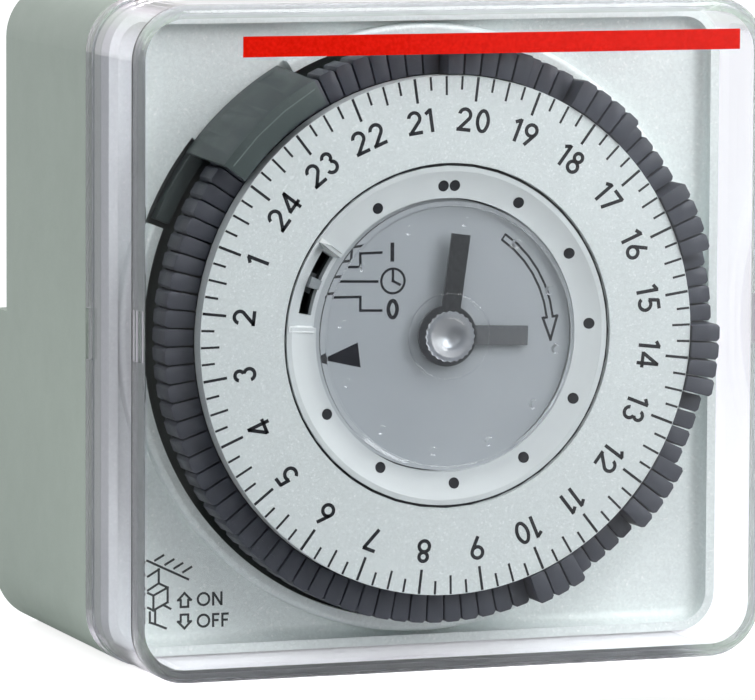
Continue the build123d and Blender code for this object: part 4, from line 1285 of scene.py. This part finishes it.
@dataclass
class SmallClock(Assembly):
    """The fixed clock in the middle: its ring, face, print, hands and clear setting disc."""

    dot_radius: float = 0.6
    dot_circle: float = 16.0
    dot_shift: Point = (0.34, 0.07)
    dot_angles: tuple[float, ...] = (
        60.9, 31.6, 2.7, -27.2, -57.6, -87.8, -119.0, -149.7, 120.8, 88.2, 92.8,
    )  # fmt: skip
    line: float = 0.28
    bold: float = 0.42
    # radius and width of the painted shadow line in the gap between the ring and the dial
    gap_radius: float = 18.39
    gap_width: float = 0.3
    window: Point = (143.6, 175.9)
    lip_reach: Point = (14.95, 18.0)
    lip_width: float = 0.6
    arrow_radii: Point = (12.75, 12.05)
    arrow_start: float = 56.0
    arrow_turn: float = -49.2
    arrow_line: float = 0.25
    bead_radii: Point = (14.0, 4.6)
    bead_depth: float = 2.5
    bead_half: float = 0.09
    knob_front: float = 2.0
    lens: tuple[Point, ...] = (
        (0.0, -0.16),
        (0.9, -0.12),
        (1.25, -0.04),
        (1.55, -0.26),
        (2.0, -0.2),
        (2.25, 0.02),
        (0.0, 0.02),
    )

    def dots(self) -> None:
        """Prints the hour dots, with a double one at the top."""
        layer = PrintLayer()
        for angle in self.dot_angles:
            u, v = polar(self.dot_circle, angle)
            layer.disc((u + self.dot_shift[0], v + self.dot_shift[1]), self.dot_radius)
        layer.settle("clock_dots", Look.PRINT, "casing", self.nodes["clock_ring"])

    def rims(self) -> None:
        """Adds a painted shadow line round the ring, where the gap to the dial lies in shade, and
        the light lips at the ends of its window.
        """
        ring = self.nodes["clock_ring"]
        gap, lips = PrintLayer(self.gap_width), PrintLayer(self.lip_width)
        gap.arc((0, 0), self.gap_radius, 0, 360)
        gap.settle("ring_shadow_line", Look.PRINT, "casing", ring)
        for angle in self.window:
            lips.bar(*(polar(radius, angle) for radius in self.lip_reach))
        lips.settle("window_lips", Look.LIP, "casing", ring, proud=0.12, thickness=0.15)

    def beads(self) -> None:
        """Adds the polished beads of the setting disc and the lens on its knob."""
        for name, radius in zip(("disc_outer_bead", "disc_inner_bead"), self.bead_radii):
            ring = turned(bead(radius, self.bead_depth, self.bead_half), True)
            add_piece(name, ring, Look.CLEAR_DISC, "minute_work")
        lens = turned([(radius, self.knob_front + rise) for radius, rise in self.lens])
        add_piece("knob_lens", lens, Look.CLEAR_DISC, "minute_work")

    def switch_positions(self, layer: PrintLayer) -> None:
        """Prints the marks of the lever's three positions and the lines that lead to them.

        Args:
            layer: Layer to draw on.
        """
        layer.path([(-7.0, 8.98), (-9.38, 8.94), (-9.37, 7.5), (-11.4, 7.55)])
        layer.path([(-12.3, 6.03), (-7.44, 5.89)])
        layer.path([(-13.1, 4.34), (-9.35, 4.3), (-9.35, 2.84), (-6.97, 2.77)])
        layer.arc((-5.67, 5.9), 1.32, 0, 360, 0.26)
        layer.path([(-5.67, 6.95), (-5.67, 5.9), (-4.9, 5.5)])

    def symbols(self, layer: PrintLayer) -> None:
        """Prints the bold signs for on and off beside their lines."""
        layer.bar((-5.75, 7.98), (-5.75, 10.02))
        layer.text("0", (-5.68, 2.88), 2.08)

    def turning_arrow(self, layer: PrintLayer) -> None:
        """Prints the outlined arrow that shows which way the disc is turned.

        Args:
            layer: Layer to draw on.
        """
        for radius in self.arrow_radii:
            layer.arc((0, 0), radius, self.arrow_start, self.arrow_turn, self.arrow_line)
        layer.bar(polar(11.95, self.arrow_start), polar(12.85, self.arrow_start), 0.2)
        head = ((12.75, 7), (13.25, 7), (12.45, -4.3), (11.6, 7), (12.05, 7))
        layer.path([polar(*corner) for corner in head])

    def face(self) -> None:
        """Finishes the face and prints it."""
        self.finish(Look.CLOCK_FACE, "clock_face")
        face = self.nodes["clock_face"]
        layer, bold = PrintLayer(self.line), PrintLayer(self.bold)
        self.switch_positions(layer)
        self.turning_arrow(layer)
        layer.patch([polar(13.9, 189.4), polar(9.84, 199.4), polar(9.64, 183.4)])
        layer.settle("face_print", Look.PRINT, "casing", face)
        self.symbols(bold)
        bold.settle("face_symbols", Look.PRINT, "casing", face)

    def dress(self) -> None:
        """Finishes every part of the clock."""
        self.finish(Look.CLOCK_RING, "clock_ring")
        self.dots()
        self.rims()
        self.face()
        self.beads()
        self.finish(Look.HANDS, "minute_hand", "hour_hand")
        self.finish(Look.CLEAR_DISC, "setting_disc")
        self.finish(Look.FROSTED, "setting_knob")
        self.finish(Look.STEEL, "centre_arbor", "mode_retainer")
        self.finish(Look.KNOB, "mode_lever")


@dataclass
class Movement(Assembly):
    """Everything behind the dial: the chassis, the train, the motor and the switch."""

    wheels: tuple[str, ...] = ("hour_wheel", "middle_wheel", "drive_gear", "motor_pinion")
    screws: tuple[str, ...] = ("motor_screws", "switch_screws", "block_screws", "terminal_screws")

    def dress(self) -> None:
        """Finishes every part of the movement."""
        # the drum is near-black to paint the shade in the window slot
        self.finish(Look.CHARCOAL, "centre_drum")
        # the chassis is darkened to paint the shade in the gap round the dial
        self.finish(Look.CHASSIS, "chassis")
        self.finish(Look.NATURAL, *self.wheels, "switch_plunger")
        self.finish(Look.BLACK, "switch_body", "terminal_block")
        self.finish(Look.STEEL, "wheel_pins", *self.screws)
        self.finish(Look.BRASS, "terminal_clamps", "switch_tabs", "contact_leads")
        self.finish(Look.ZINC, "motor")


# ------------------------------------------------------------------------------------ studio


@dataclass(frozen=True)
class Lamp:
    """A soft box that looks at the object."""

    name: str
    place: Place
    size: float
    power: float
    glossy: bool = True

    def hang(self, target: Vector) -> None:
        """Hangs the lamp and turns it to its target.

        Args:
            target: Point that it looks at.
        """
        data = bpy.data.lights.new(self.name, "AREA")
        data.size = self.size
        data.energy = self.power
        lamp = link(self.name, data)
        lamp.visible_glossy = self.glossy
        lamp.location = self.place
        lamp.rotation_euler = (target - Vector(self.place)).to_track_quat("-Z", "Y").to_euler()


@dataclass
class Viewpoint:
    """Where the camera stands, where it looks and how it is rolled."""

    stand: Place = (-0.2396, -0.6654, 0.1090)
    forward: Place = (0.3372, 0.9352, -0.1081)
    roll: float = 0.29
    lens: float = 307.86
    sensor: float = 36.0
    near: float = 0.05
    far: float = 20.0

    def set_up(self) -> None:
        """Builds the camera and makes it the scene's."""
        data = bpy.data.cameras.new("camera")
        data.sensor_fit = "HORIZONTAL"
        data.sensor_width = self.sensor
        data.lens = self.lens
        data.clip_start = self.near
        data.clip_end = self.far
        ahead = Vector(self.forward).normalized()
        right = ahead.cross(Vector((0, 0, 1))).normalized()
        above = right.cross(ahead)
        cosine, sine = polar(1.0, self.roll)
        side, top = cosine * right + sine * above, cosine * above - sine * right
        turn = Matrix((side, top, -ahead)).transposed()
        camera = link("camera", data)
        camera.matrix_world = Matrix.Translation(self.stand) @ turn.to_4x4()
        bpy.context.scene.camera = camera


@dataclass
class Studio:
    """The pale floor, the white surround, the lamps and the camera."""

    sky: Colour = (0.96, 0.985, 1.0)
    glow_span: Point = (-0.5, 0.1)
    front_glow: float = 0.12
    back_glow: float = 0.75
    floor_width: float = 4.0
    floor_front: float = -0.045
    floor_back: float = 3.0
    floor_drop: float = 0.2
    floor_tones: Point = (0.80, 0.82)
    floor_glow: float = 0.8
    light_bounces: int = 20
    card_place: Place = (0.36, -0.66, -0.04)
    card_size: Point = (0.36, 0.40)
    card_fade: Point = (0.215, 0.31)
    card_glow: float = 0.5
    target: Place = (0.0, -0.01, DIAL_HEIGHT * MM)
    viewpoint: Viewpoint = field(default_factory=Viewpoint)
    lamps: tuple[Lamp, ...] = (
        Lamp("key_box", (0.10, -0.17, 0.235), 0.14, 0.48),
        Lamp("side_box", (0.15, -0.19, 0.12), 0.10, 0.27, glossy=False),
        Lamp("front_box", (-0.34, -0.62, 0.30), 0.22, 0.55),
    )

    def surround(self) -> None:
        """Makes a world that lights softly and shows white to the camera and in reflections."""
        world = bpy.data.worlds.new("surround")
        bpy.context.scene.world = world
        sheet = NodeSheet(world)
        soft, white = (sheet.add("ShaderNodeBackground") for _ in range(2))
        soft.inputs["Color"].default_value = (*self.sky, 1.0)
        white.inputs["Color"].default_value = (1.0, 1.0, 1.0, 1.0)
        split = sheet.add("ShaderNodeSeparateXYZ")
        sheet.join(sheet.coordinates.outputs["Generated"], split.inputs[0])
        dim, bright = (
            sheet.remap(split.outputs["Y"], self.glow_span, (self.front_glow, back))
            for back in (self.back_glow, 1.0)
        )
        rays = sheet.add("ShaderNodeLightPath").outputs
        camera, through = rays["Is Camera Ray"], rays["Is Transmission Ray"]
        straight = sheet.calculate("MAXIMUM", camera, through, True)
        seen = sheet.calculate("MAXIMUM", straight, rays["Is Glossy Ray"], True)
        seen = sheet.calculate("SUBTRACT", seen, rays["Diffuse Depth"], True)
        unbent = sheet.calculate("SUBTRACT", straight, rays["Glossy Depth"], True)
        sheet.join(dim, soft.inputs["Strength"])
        shown = sheet.calculate("MAXIMUM", unbent, bright, True)
        sheet.join(shown, white.inputs["Strength"])
        sheet.either(seen, soft, white)

    def flat(
        self, name: str, stand: Matrix, size: Point, cuts: int, material: bpy.types.Material
    ) -> Piece:
        """Makes a flat piece of the studio.

        Args:
            name: Name of the piece.
            stand: Turn and place of a sheet that lies at the origin.
            size: Its two sides in metres.
            cuts: Squares along each side.
            material: Its material.

        Returns:
            The piece.
        """
        mesh = bmesh.new()
        sides = stand @ Matrix.Diagonal((*size, 1.0, 1.0))
        bmesh.ops.create_grid(mesh, x_segments=cuts, y_segments=cuts, size=0.5, matrix=sides)
        piece = from_mesh(name, mesh)
        piece.data.materials.append(material)
        return piece

    def floor(self) -> None:
        """Lays the floor, which keeps a soft shadow of the object."""
        material = bpy.data.materials.new("floor_white")
        sheet = NodeSheet(material)
        matt = sheet.add("ShaderNodeBsdfDiffuse")
        tone = sheet.remap(sheet.noise(3), SWING, UNIT)
        pale = sheet.blend(tone, *((level, level, level) for level in self.floor_tones))
        sheet.join(pale, matt.inputs["Color"])
        glow = sheet.add("ShaderNodeEmission")
        glow.inputs["Strength"].default_value = self.floor_glow
        both = sheet.add("ShaderNodeAddShader")
        sheet.join(matt.outputs[0], both.inputs[0])
        sheet.join(glow.outputs[0], both.inputs[1])
        rays = sheet.add("ShaderNodeLightPath").outputs
        seen = sheet.calculate("MAXIMUM", rays["Is Camera Ray"], rays["Is Transmission Ray"])
        seen = sheet.calculate("SUBTRACT", seen, rays["Glossy Depth"])
        seen = sheet.calculate("SUBTRACT", seen, rays["Diffuse Depth"], True)
        sheet.either(seen, matt, both)
        depth = self.floor_back - self.floor_front
        middle = Matrix.Translation((0, self.floor_front + depth / 2, -self.floor_drop * MM))
        floor = self.flat("floor", middle, (self.floor_width, depth), 4, material)

    def card(self) -> None:
        """Stands a pale card in front on the right, which fades to the left in reflections."""
        material = bpy.data.materials.new("card_glow")
        sheet = NodeSheet(material)
        split = sheet.add("ShaderNodeSeparateXYZ")
        sheet.join(sheet.where, split.inputs[0])
        glow = sheet.add("ShaderNodeEmission")
        fade = sheet.remap(split.outputs["X"], self.card_fade, (0.0, self.card_glow))
        sheet.join(fade, glow.inputs["Strength"])
        sheet.surface(glow.outputs[0])
        spot = Matrix.Translation(self.card_place) @ Matrix.Rotation(math.radians(90), 4, "X")
        card = self.flat("card", spot, self.card_size, 1, material)
        card.visible_camera = False
        card.visible_diffuse = False
        card.visible_shadow = False

    def set_up(self) -> None:
        """Sets up the whole studio."""
        self.surround()
        self.floor()
        self.card()
        for lamp in self.lamps:
            lamp.hang(Vector(self.target))
        self.viewpoint.set_up()
        scene = bpy.context.scene
        scene.view_settings.view_transform = "Standard"
        # light runs down the walls of the cover with many inner reflections
        scene.cycles.max_bounces = self.light_bounces
        scene.cycles.glossy_bounces = self.light_bounces
        scene.cycles.transmission_bounces = self.light_bounces
        LOG.info("studio set up with %d lamps", len(self.lamps))


def clear_scene() -> None:
    """Removes whatever Blender starts with, before the parts are loaded."""
    for thing in list(bpy.data.objects):
        bpy.data.objects.remove(thing, do_unlink=True)


def corners(box: tuple[Vector, Vector]) -> list[list[float]]:
    """Gives a box as plain lists of numbers."""
    return [list(corner) for corner in box]


def main() -> None:
    """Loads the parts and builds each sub-assembly in order."""
    logging.basicConfig(level=logging.INFO, format="%(name)s: %(message)s")
    clear_scene()
    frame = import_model()
    nodes: Nodes = frame["nodes"]
    Studio().set_up()
    for assembly in (
        Case(nodes),
        FrontPlate(nodes),
        ClearCover(nodes),
        HourDial(nodes),
        Trippers(nodes),
        TripLever(nodes),
        SmallClock(nodes),
        Movement(nodes),
    ):
        assembly.dress()
        LOG.info("%s finished", type(assembly).__name__)


if __name__ == "__main__":
    main()
